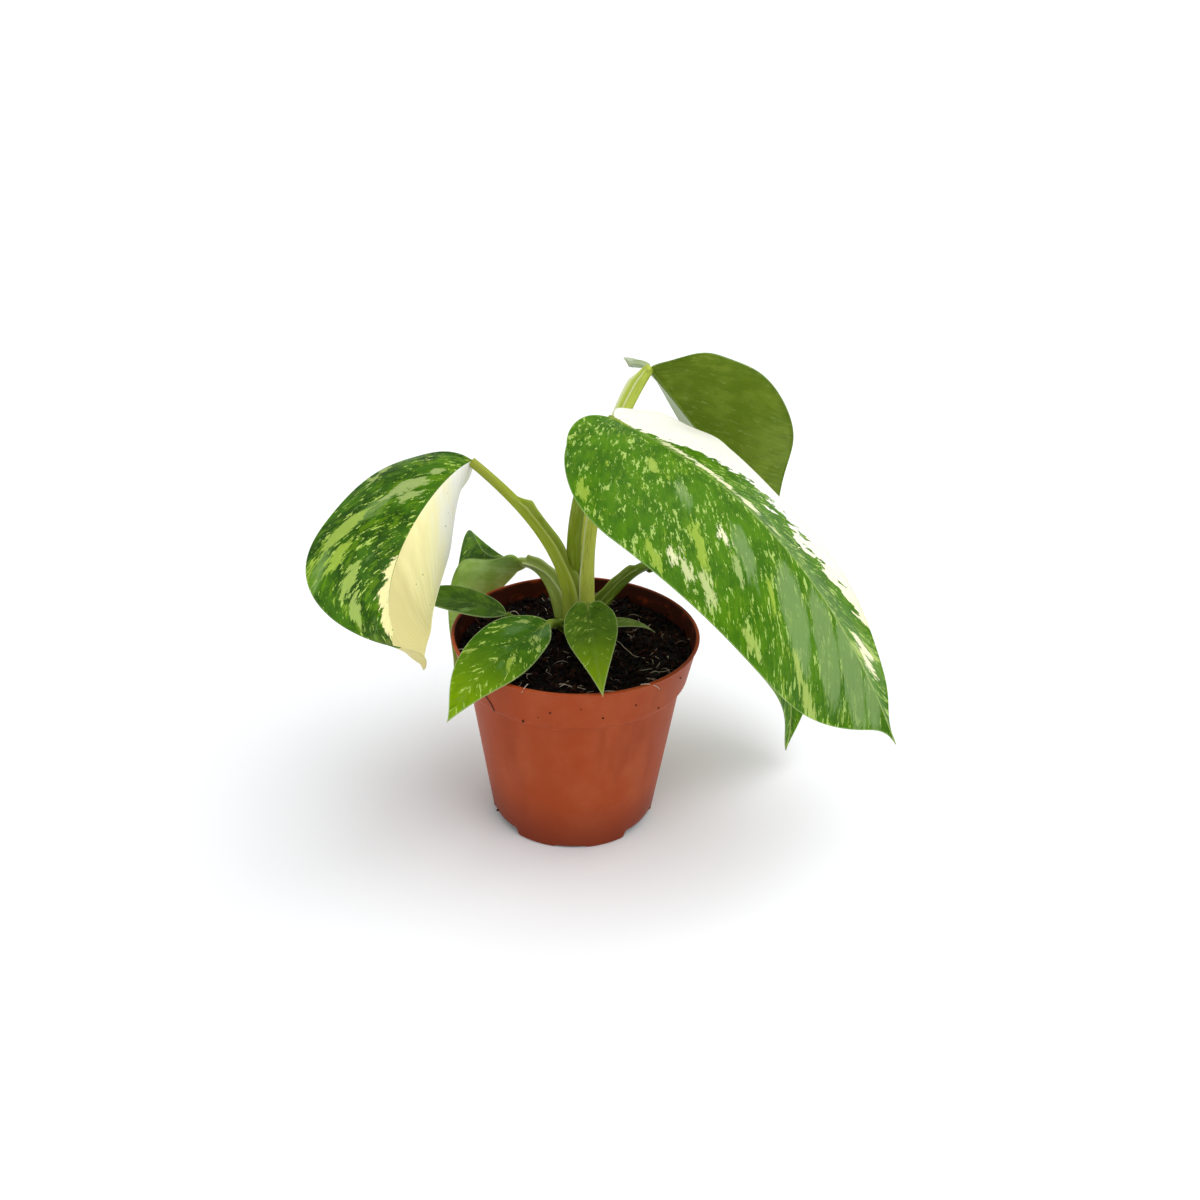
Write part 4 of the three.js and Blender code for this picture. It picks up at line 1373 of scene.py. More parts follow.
@dataclass(frozen=True)
class Petiole:
    """A leaf stalk along a cubic path, oval in section, whose sheath is a groove between two thin flaps."""

    path: tuple
    base: float
    middle: float
    end: float
    wing: Wing
    lean: float = 20  # degrees by which the groove turns towards the viewer
    parted: float = 34  # degrees from the groove's middle to each flap
    flap_spread: float = 0.11  # half the flap's angle at its foot, in radians
    second_flap: float = 0.85  # its width beside the first
    sheath_fade: float = 0.06  # the share of the stalk over which the sheath ends
    flap_full: float = 1.5  # a flap this wide has its edge's full colour
    stations: int = 84
    sides: int = 26

    def around(self, opening: float) -> Array:
        """The angles of a ring's points, close together where the flaps stand.

        Args:
            opening: the angle at which the groove opens, in radians.
        Returns:
            The angles in rising order.
        """
        even = np.linspace(0, 2 * np.pi, self.sides, endpoint=False)
        flaps = opening + np.radians([[-self.parted], [self.parted]])
        close = flaps + self.flap_spread * np.linspace(-2.4, 2.4, 11)
        return np.unique(np.round(np.concatenate([even, close.ravel()]) % (2 * np.pi), 4))

    def build(self) -> Surface:
        """Rings of an oval about the path; the radius rises in two narrow bells, the flaps, with a hollow
        between them, and each flap flares into an ear where the sheath ends.

        Returns:
            The closed stalk, on material slot 2.
        """
        t = np.linspace(0, 1, self.stations)
        centre, forward = cubic(self.path, t), cubic_direction(self.path, t)
        side = unit(np.cross(forward, [0, 1, 0]))
        deep = np.cross(side, forward)
        radius = np.interp(t, [0, 0.35, 1], [self.base, self.middle, self.end])[:, None]
        until = self.wing.until
        share = np.clip((until - t) / self.sheath_fade, 0, 1)
        ear = 1 + self.wing.ear * np.exp(-((t - until + 0.06) / 0.03) ** 2)
        wavy = 1 + 0.08 * np.sin(9 * np.pi * t + 1)
        spread = (self.wing.width * share * mix(1, self.wing.top, t / until) * ear * wavy)[:, None]
        opening = math.radians(-self.lean if self.wing.side > 0 else 180 + self.lean)
        turn = self.around(opening)[None, :]
        from_groove = np.angle(np.exp(1j * (turn - opening)))
        parted = math.radians(self.parted)
        first = np.exp(-((from_groove - parted) / self.flap_spread) ** 2)
        second = np.exp(-((from_groove + parted) / self.flap_spread) ** 2)
        flap = first + self.second_flap * second
        hollow = share[:, None] * np.exp(-(from_groove / (0.7 * parted)) ** 2)
        reach = radius * (1 - 0.25 * hollow) + spread * flap
        across, depth = reach * np.cos(turn), 0.9 * reach * np.sin(turn)
        rings = centre[:, None] + side[:, None] * across[..., None] + deep[:, None] * depth[..., None]
        run = np.concatenate([[0], np.cumsum(np.linalg.norm(np.diff(centre, axis=0), axis=1))])[:, None]
        fields = {
            "Fibre": polar(radius, turn, run),
            "Along": np.broadcast_to(t[:, None], across.shape),
            "Wing": flap * np.minimum(1, spread / self.flap_full),
            # where painted shade darkens the hollow between the flaps
            "Groove": hollow * (1 - flap),
        }
        return tube(rings, slot=2, fields=fields)


@dataclass(frozen=True)
class LeafBlade:
    """A heart-shaped blade that grows from its midrib, a cubic curve.

    facing is the way the upper face looks at base and tip; the longer of the two arrows holds on further
    along the leaf. half_width, fold (at the midrib) and curl (across the half), in degrees at base and tip,
    belong to the two halves: the first is on the left when the tip hangs towards the viewer.
    """

    midrib: tuple
    facing: tuple
    half_width: tuple
    fold: tuple
    curl: tuple = ((0, 0), (0, 0))
    outline: Outline = Outline()
    ripple: tuple[float, float, float] = (0, 1, 0)  # height, waves and phase in degrees
    thickness: float = 0.8
    margin_thickness: float = 0.5
    rolled: float = 0  # how much thicker the second half's base lobe is, where it rolls in
    ridge: float = 1.5  # height of the midrib below
    groove: float = 0.45  # depth of the hollow along the midrib above
    whiter_base: float = 58  # how much whiter the cream is at the base than at the tip
    whiter_out: float = 1  # and for each millimetre outwards
    knuckle_shift: float = 0  # how far the stalk's swelling lies under the first half, in its radii
    fold_rounding: float = 1.2  # how far from the midrib the fold is rounded
    full_length: float = 80  # a shorter leaf has a midrib smaller in proportion
    outside: float = -20  # a pattern's field far from its patches
    rows: int = 150
    columns: int = 30

    def length(self) -> float:
        """The midrib's length."""
        run = cubic(self.midrib, np.linspace(0, 1, 61))
        return float(np.linalg.norm(np.diff(run, axis=0), axis=1).sum())

    def margin_at(self, u: Array, half: Array) -> tuple[Array, Array]:
        """The flat outline at a share u of the margin: two cubic curves that meet at the widest place.

        Args:
            u: shares from base to tip.
            half: 0 or 1 for each point.
        Returns:
            How far along the midrib and how far out the margin is.
        """
        o, length, width = self.outline, self.length(), np.array(self.half_width, float)[half]
        lobe = np.array(o.lobe, float)[half]
        lower = u < 0.5
        t = np.where(lower, 2 * u, 2 * u - 1)
        r = 1 - t
        shares = np.stack([r ** 3, 3 * t * r * r, 3 * t * t * r, t ** 3])
        zero, one = np.zeros_like(u), np.ones_like(u)
        along_low = np.stack([zero, -lobe, one * (o.widest - o.shoulder), one * o.widest])
        along_high = np.stack([one * o.widest, one * (o.widest + o.flank), one * (1 - o.tip), one])
        out_low = np.stack([zero, one * o.lobe_width, one, one])
        out_high = np.stack([one, one, one * o.tip_width, zero])
        along = (shares * np.where(lower, along_low, along_high)).sum(axis=0)
        out = (shares * np.where(lower, out_low, out_high)).sum(axis=0)
        return length * along, width * out

    def base_power(self) -> float:
        """The power of u that says where on the midrib a run to the margin starts."""
        o = self.outline
        return math.log(max(0.05, o.widest - o.sweep * self.half_width[0] / self.length())) / math.log(0.5)

    def surface(self, half: Array, u: Array, v: Array) -> dict[str, Array]:
        """Points of the blade's middle surface: a straight run from midrib to margin on the flat outline is
        bent over an arc across the half.

        Args:
            half: 0 or 1 for each point.
            u: share of the margin from base to tip.
            v: share of the way from midrib to margin.
        Returns:
            The point, its normal and its place on the flat blade.
        """
        length, widths = self.length(), np.array(self.half_width, float)
        edge_along, edge_out = self.margin_at(u, half)
        along = mix(length * u ** self.base_power(), edge_along, v)
        out = edge_out * v
        t = np.clip(along / length, 0, 1)
        forward = cubic_direction(self.midrib, t)
        centre = cubic(self.midrib, t) + forward * np.minimum(along, 0)[..., None]
        up = mix(np.array(self.facing[0], float), np.array(self.facing[1], float), t[..., None])
        up = unit(up - forward * (up * forward).sum(axis=-1, keepdims=True))
        outward = np.cross(forward, up) * np.where(half == 0, 1, -1)[..., None]
        fold_ends, curl_ends = np.array(self.fold, float)[half], np.array(self.curl, float)[half]
        fold = np.radians(mix(fold_ends[..., 0], fold_ends[..., 1], t))
        bend = np.radians(mix(curl_ends[..., 0], curl_ends[..., 1], t)) / widths[half]
        bend = np.where(np.abs(bend) < 1e-5, 1e-5, bend)
        turn = fold + bend * out
        reach = (np.sin(turn) - np.sin(fold)) / bend
        rise = (np.cos(fold) - np.cos(turn)) / bend
        height, waves, phase = self.ripple
        wave = height * v * v * np.sin(2 * np.pi * waves * u + math.radians(phase))
        normal = up * np.cos(turn)[..., None] - outward * np.sin(turn)[..., None]
        point = centre + outward * reach[..., None] + up * rise[..., None] + normal * wave[..., None]
        return {"point": point, "normal": normal, "along": along, "out": out}

    def paint_fields(self, paint: LeafPaint, half: Array, u: Array, v: Array,
                     along: Array, out: Array) -> dict[str, Array]:
        """Signed distances, in millimetres, that say where the parts of the pattern lie, above 0 inside.

        A patch is an oval about its middle, measured across and along the side veins.

        Args:
            paint: the blade's paint.
            half: 0 or 1 for each point.
            u: share of the margin.
            v: share of the way to the margin.
            along: how far along the flat blade each point is.
            out: how far out on it.
        Returns:
            The fields Sector, Bloom and Patch, and the Tone of the nearest patch.
        """
        widths = np.array(self.half_width, float)[half]
        starts = [np.interp(u, [p[0] for p in line], [p[1] for p in line]) for line in paint.cream_from]
        sector = (v - np.where(half == 0, starts[0], starts[1])) * widths
        fields = {"Sector": sector, "Tone": np.zeros(u.shape)}
        across, outward = along_veins(along, out, self.length())
        for name, patches in (("Bloom", paint.grey_and_sheen_patches), ("Patch", paint.patches)):
            inside = np.full(u.shape, self.outside)
            for patch in patches:
                edge_along, edge_out = self.margin_at(np.array([patch.u]), np.array([patch.half]))
                middle_out = edge_out * patch.v
                middle_along = mix(self.length() * patch.u ** self.base_power(), edge_along, patch.v)
                middle = along_veins(middle_along, middle_out, self.length())
                away = np.hypot((across - middle[0]) / patch.wide, (outward - middle[1]) / patch.long)
                here = (1 - away) * min(patch.wide, patch.long)
                nearest = (half == patch.half) & (here > inside)
                inside = np.where(nearest, here, inside)
                if name == "Patch":
                    fields["Tone"] = np.where(nearest, patch.tone, fields["Tone"])
            fields[name] = inside
        return fields

    def from_margin(self, half: Array, along: Array, out: Array) -> Array:
        """The distance from each point of the flat blade to its half's margin, a chain of straight pieces.

        Args:
            half: 0 or 1 for each point.
            along: how far along the flat blade each point is.
            out: how far out on it.
        Returns:
            The distances in millimetres.
        """
        nearest = np.full(along.shape, 1e3)
        shares = np.linspace(0, 1, self.rows + 1)
        for side in (0, 1):
            here = half == side
            margin = np.stack(self.margin_at(shares, np.full(shares.shape, side)), axis=-1)
            start, piece = margin[:-1], np.diff(margin, axis=0)
            point = np.stack([along[here], out[here]], axis=-1)[:, None]
            t = ((point - start) * piece).sum(axis=-1) / np.maximum((piece ** 2).sum(axis=-1), 1e-9)
            foot = start + np.clip(t, 0, 1)[..., None] * piece
            nearest[here] = np.linalg.norm(point - foot, axis=-1).min(axis=1)
        return nearest

    def build(self, paint: LeafPaint) -> Surface:
        """The blade as a closed shell: the middle surface moved half a thickness to each side, with a groove
        along the midrib above, a rounded ridge below and the second half's base lobe thicker where it is
        rolled.

        Args:
            paint: the blade's paint, for the fields that its materials read.
        Returns:
            The closed blade: slot 0 is the upper face, slot 1 the underside.
        """
        rows, columns = self.rows, self.columns
        column = np.arange(-columns, columns + 1)
        v_row = (np.abs(column) / columns) ** 1.2
        u = np.repeat(np.linspace(0, 1, rows + 1)[1:-1, None], len(column), axis=1)
        v = np.repeat(v_row[None, :], rows - 1, axis=0)
        half = np.repeat(np.where(column >= 0, 0, 1)[None, :], rows - 1, axis=0)
        ends = (u, np.array([0.0, 1.0])), (v, np.zeros(2)), (half, np.zeros(2, int))
        u, v, half = (np.concatenate([inner.ravel(), end]) for inner, end in ends)
        here, other = self.surface(half, u, v), self.surface(1 - half, u, v)
        normal = here["normal"]
        # Near the midrib the two halves' normals run into each other, so that the fold is rounded
        share = 0.5 * np.exp(-(here["out"] / self.fold_rounding) ** 2)[:, None]
        normal = unit(mix(normal, other["normal"], share))
        length, along, out = self.length(), here["along"], here["out"]
        size = min(1, length / self.full_length)
        lobe_end = np.where(half == 1, v ** 1.5 * np.exp(-((u - 0.06) / 0.1) ** 2), 0)
        thick = mix(self.thickness, self.margin_thickness, v) + self.rolled * lobe_end
        groove = self.groove * size * (1 - 0.8 * u) * np.exp(-(out / (1.1 * size)) ** 2)
        ridge = self.ridge * size * (1 - u) ** 0.8 * np.exp(-(out / (1.5 * size)) ** 2)
        upper = here["point"] + normal * (thick / 2 - groove)[:, None]
        under = here["point"] - normal * (thick / 2 + ridge)[:, None]
        count = len(u)
        body = grid_faces(rows - 1, len(column), wrap=False)
        base, tip = count - 2, count - 1
        first = np.arange(len(column) - 1)
        last = (rows - 2) * len(column) + first
        base_fan = np.stack([np.full_like(first, base), first + 1, first], axis=-1)
        tip_fan = np.stack([np.full_like(last, tip), last, last + 1], axis=-1)
        left = np.arange(rows - 1) * len(column)
        loop = np.concatenate([[base], left, [tip], left[::-1] + len(column) - 1])
        ahead = np.roll(loop, -1)
        wall = np.stack([loop, ahead, ahead + count, loop + count], axis=-1)
        blocks = [(body, 0), (base_fan, 0), (tip_fan, 0)]
        blocks += [(faces[:, ::-1] + count, 1) for faces, _ in blocks]
        blocks.append((wall[:, ::-1], 0))
        sign = np.where(half == 0, 1, -1)
        across, outward = along_veins(along, out, length)
        fields = {
            "Veins": np.stack([across, sign * outward], axis=-1),
            "Flat": np.stack([along, sign * out], axis=-1),
            "Rib": out,
            "RibWidth": 1.2 * size * (1 - u) ** 0.7 + 0.15,
            "Edge": np.where(u == 0, 5.0, self.from_margin(half, along, out)),
            "Run": along / length,
            "Whiteness": self.whiter_out * out + self.whiter_base * (0.5 - along / length),
            **self.paint_fields(paint, half, u, v, along, out),
        }
        doubled = {key: np.concatenate([values, values]) for key, values in fields.items()}
        return Surface(np.concatenate([upper, under]), blocks, doubled).turned_outwards()

    def knuckle(self, radius: float) -> Surface:
        """The swelling where the stalk meets the blade: a short taper that runs on below the midrib.

        Args:
            radius: the stalk's radius at its end.
        Returns:
            The closed taper, on material slot 2.
        """
        reach = min(0.2, 5 * radius / self.length())
        share = np.linspace(-0.15, 1, 24)
        size = np.interp(share, [-0.15, -0.05, 0, 0.25, 0.6, 1], [0.5, 0.86, 0.95, 0.9, 0.6, 0.25])
        t = np.maximum(0, share * reach)
        forward = cubic_direction(self.midrib, t)
        up = np.array(self.facing[0], float)
        up = unit(up - forward * (forward @ up)[:, None])
        side = np.cross(forward, up)
        wide = size * radius
        centre = cubic(self.midrib, t) + forward * (np.minimum(0, share) * 6 * radius)[:, None]
        centre = centre + (side * self.knuckle_shift - up * 0.75) * wide[:, None]
        turn = np.linspace(0, 2 * np.pi, 24, endpoint=False)
        rings = centre[:, None] + wide[:, None, None] * (
            side[:, None] * np.cos(turn)[:, None] + up[:, None] * np.sin(turn)[:, None])
        run = share * reach * self.length()
        fields = {"Fibre": polar(radius, turn, run[:, None]), "Along": np.ones(rings.shape[:2])}
        return tube(rings, slot=2, fields=fields)


@dataclass
class Leaf:
    """One leaf: its blade, its stalk and their paints."""

    node: str
    blade: LeafBlade
    paint: LeafPaint
    petiole: Petiole | None = None
    stalk_paint: PetiolePaint = PetiolePaint()
    slot: str = "leaf_tissue"

    def build(self) -> None:
        """Makes and dresses the leaf."""
        surfaces = [self.blade.build(self.paint)]
        materials = [LeafTissue(self.node, self.paint, side).material() for side in Side]
        if self.petiole:
            surfaces += [self.petiole.build(), self.blade.knuckle(self.petiole.end)]
            materials.append(StalkTissue(self.node, self.stalk_paint).material())
        finish_piece(joined(surfaces).piece(f"{self.node}_grown", materials), self.slot, self.node)


@dataclass
class Crown:
    """The short rootstock that the leaves stand on."""

    x: float = 0
    y: float = 11
    root_z: float = 62
    root_radius: float = 3.5
    collar_z: float = 98
    collar_radius: float = 7.4
    core_radius: float = 4.6
    top_z: float = 105
    paint: PetiolePaint = PetiolePaint(foot="#5c6a20", green="#64701c", top="#7f8f3a", seed=40)

    def build(self) -> None:
        """Turns a profile about its own axis, with leaf scars as shallow rings and a few ribs."""
        corners = np.array([
            [self.root_radius * 0.6, self.root_z],
            [self.root_radius, self.root_z + 3],
            [self.root_radius * 1.3, self.root_z + 14],
            [self.collar_radius * 0.9, self.collar_z - 12],
            [self.collar_radius, self.collar_z - 5],
            [self.collar_radius, self.collar_z - 1],
            [self.collar_radius - 1, self.collar_z],
            [self.core_radius, self.collar_z + 0.6],
            [self.core_radius * 0.85, self.top_z - 2],
            [self.core_radius * 0.35, self.top_z],
        ])
        profile = spaced(softened(corners, 0.8), 0.7)
        turn = np.linspace(0, 2 * np.pi, 64, endpoint=False)[None, :]
        height = profile[:, 1:]
        scars = 0.12 * np.sin(2 * np.pi * height / 2.6 + 0.8 * np.sin(turn))
        ribs = 0.12 * np.sin(7 * turn + 0.15 * height)
        radius = profile[:, :1] + scars + ribs
        upright = polar(radius, turn, height)
        share = (height - self.root_z) / (self.top_z - self.root_z)
        fields = {"Fibre": upright, "Along": np.broadcast_to(share, radius.shape)}
        stock = tube(upright + [self.x, self.y, 0], fields=fields)
        material = StalkTissue("rootstock", self.paint).material()
        finish_piece(stock.piece("rootstock", [material]), "stem_tissue", "stem")


NO_CREAM = ((0, NOWHERE),)
ALL_CREAM = ((0, -1),)


def left_leaf() -> Leaf:
    """The leaf on the left, folded along its midrib, with one green half and one cream half.

    Returns:
        The leaf.
    """
    return Leaf(
        "leaf_left",
        LeafBlade(
            midrib=((-51, 18, 180), (-67, -5, 183), (-107, -47, 128), (-64, -72, 120)),
            facing=((-0.06, -0.21, 1.01), (0.33, -0.1, -0.08)),
            half_width=(42, 35), fold=((4, 2), (-90, 40)), curl=((-36, -46), (-77, -24)),
            outline=Outline((0.04, 0.04), 0.77, 0.47, 0.24, 0.3, -0.02, 0.14), ripple=(1, 3, 40),
            rows=190, columns=36, knuckle_shift=0.9, groove=0.1, whiter_base=72, whiter_out=0.55,
        ),
        LeafPaint(
            cream_from=(((0.8, 3), (0.84, 0.9), (0.9, 0), (1, -0.3)), ALL_CREAM),
            patches=(
                Patch(0, 0.435, 0.32, 5, 9, 0.1), Patch(0, 0.485, 0.22, 2.5, 5, 0.15),
                Patch(0, 0.35, 0.17, 3, 3, 0.1), Patch(0, 0.545, 0.7, 4.5, 7, 0.35),
                Patch(0, 0.605, 0.68, 3, 4, 0.45), Patch(0, 0.62, 0.72, 3, 4, 0.45),
                Patch(0, 0.675, 0.6, 4.5, 5, 0.3), Patch(0, 0.735, 0.72, 6, 3.5, 0.25),
                Patch(0, 0.6, 0.95, 2, 1.5), Patch(0, 0.36, 0.9, 5, 2, 0.2),
                Patch(0, 0.73, 0.02, 6, 4, 1), Patch(0, 0.79, 0.03, 7, 6, 1), Patch(0, 0.85, 0.05, 8, 7, 1),
            ),
            grey_and_sheen_patches=(Patch(0, 0.515, 0.52, 4, 7), Patch(0, 0.61, 0.85, 4, 4)),
            deep="#234703", mid="#3f6c0a", frost="#9fb26e", streaks=0.1, flecks=0.9, line_share=0,
            margin_share=0.12, tear=17, rend=12, seed=11,
        ),
        Petiole(((-2, 8, 98.5), (-1.5, 9, 132), (-20, 14, 155), (-51, 18, 180)), 4.5, 3, 2.3,
                Wing(0.76, 4.2, -1, 0.75, 0.3)),
        PetiolePaint(green="#9aaa2c", top="#98a038", edge="#b8c670", seed=1),
    )


def right_leaf() -> Leaf:
    """The long leaf on the right, green and flecked, with a white sector along its upper half.

    Returns:
        The leaf.
    """
    return Leaf(
        "leaf_right",
        LeafBlade(
            midrib=((16, 4, 208), (52, -20, 198), (103, -54, 185), (154, -37, 63)),
            facing=((0.1, 0.06, 1.1), (0.1, -0.27, 0.1)),
            half_width=(64, 51), fold=((10, -3), (-3, -43)), curl=((-59, -11), (-3, 31)),
            outline=Outline((0.12, 0.12), 0.56, 0.28, 0.16, 0.73), ripple=(0.6, 5, 0),
            rows=220, columns=44,
        ),
        LeafPaint(
            cream_from=(NO_CREAM, (
                (0, -0.1), (0.48, -0.05), (0.52, 0.2), (0.54, 0.5), (0.56, 0.67), (0.6, 0.7), (0.65, 0.7),
                (0.7, 0.78), (0.72, 0.95), (0.75, 1.1), (1, 2),
            )),
            patches=(
                Patch(0, 0.55, 0.83, 3, 4, 0.85), Patch(0, 0.565, 0.85, 3, 5, 0.75),
                Patch(0, 0.585, 0.87, 3.5, 5, 0.7), Patch(0, 0.585, 0.65, 4, 7),
                Patch(0, 0.635, 0.5, 3.2, 3.2, 0.95), Patch(0, 0.64, 0.62, 3, 4, 0.25),
                Patch(0, 0.7, 0.6, 2, 6), Patch(0, 0.63, 0.9, 5, 3, 0.6),
                Patch(0, 0.72, 0.85, 3, 4, 0.6), Patch(0, 0.735, 0.95, 9, 3, 0.6),
                Patch(0, 0.535, 0.92, 4, 5), Patch(0, 0.53, 0.32, 4, 4, 0.4),
                Patch(0, 0.38, 0.9, 3, 5), Patch(1, 0.56, 0.08, 7, 2.5, 0.8),
                Patch(1, 0.6, 0.1, 7, 3, 0.9), Patch(1, 0.64, 0.13, 8, 3, 0.95),
                Patch(1, 0.68, 0.17, 8, 3.5, 0.9), Patch(1, 0.72, 0.22, 7, 4, 0.9),
                Patch(1, 0.76, 0.28, 4, 3, 0.7), Patch(1, 0.83, 0.8, 5, 3.5, 1),
                Patch(1, 0.87, 0.75, 5, 3, 1), Patch(1, 0.9, 0.5, 3, 6, 0.6), Patch(1, 0.8, 0.9, 5, 3, 0.6),
            ),
            grey_and_sheen_patches=(
                Patch(0, 0.58, 0.4, 5, 6), Patch(0, 0.67, 0.5, 7, 9), Patch(0, 0.75, 0.6, 12, 15),
                Patch(0, 0.82, 0.62, 12, 14), Patch(0, 0.88, 0.66, 12, 12), Patch(0, 0.93, 0.7, 8, 6),
            ),
            deep="#396704", fleck="#a9c566", grey_and_sheen_colour="#7f9c5f", cream="#f6f1cc", yellow="#efe6b0",
            white="#f1f0e4", streaks=0.45, flecks=1.15, greyness=0.0, mottled=0.22, tear=21, rend=60,
            seed=23,
        ),
        Petiole(((0, 17, 98.5), (-3, 14, 133), (-5, 8, 172), (16, 4, 208)), 4.2, 3.5, 3.1,
                Wing(0.3, 2, 1)),
        PetiolePaint(green="#7c9018", top="#7c9018", foot="#94a638", edge="#94a83c", seed=2),
    )


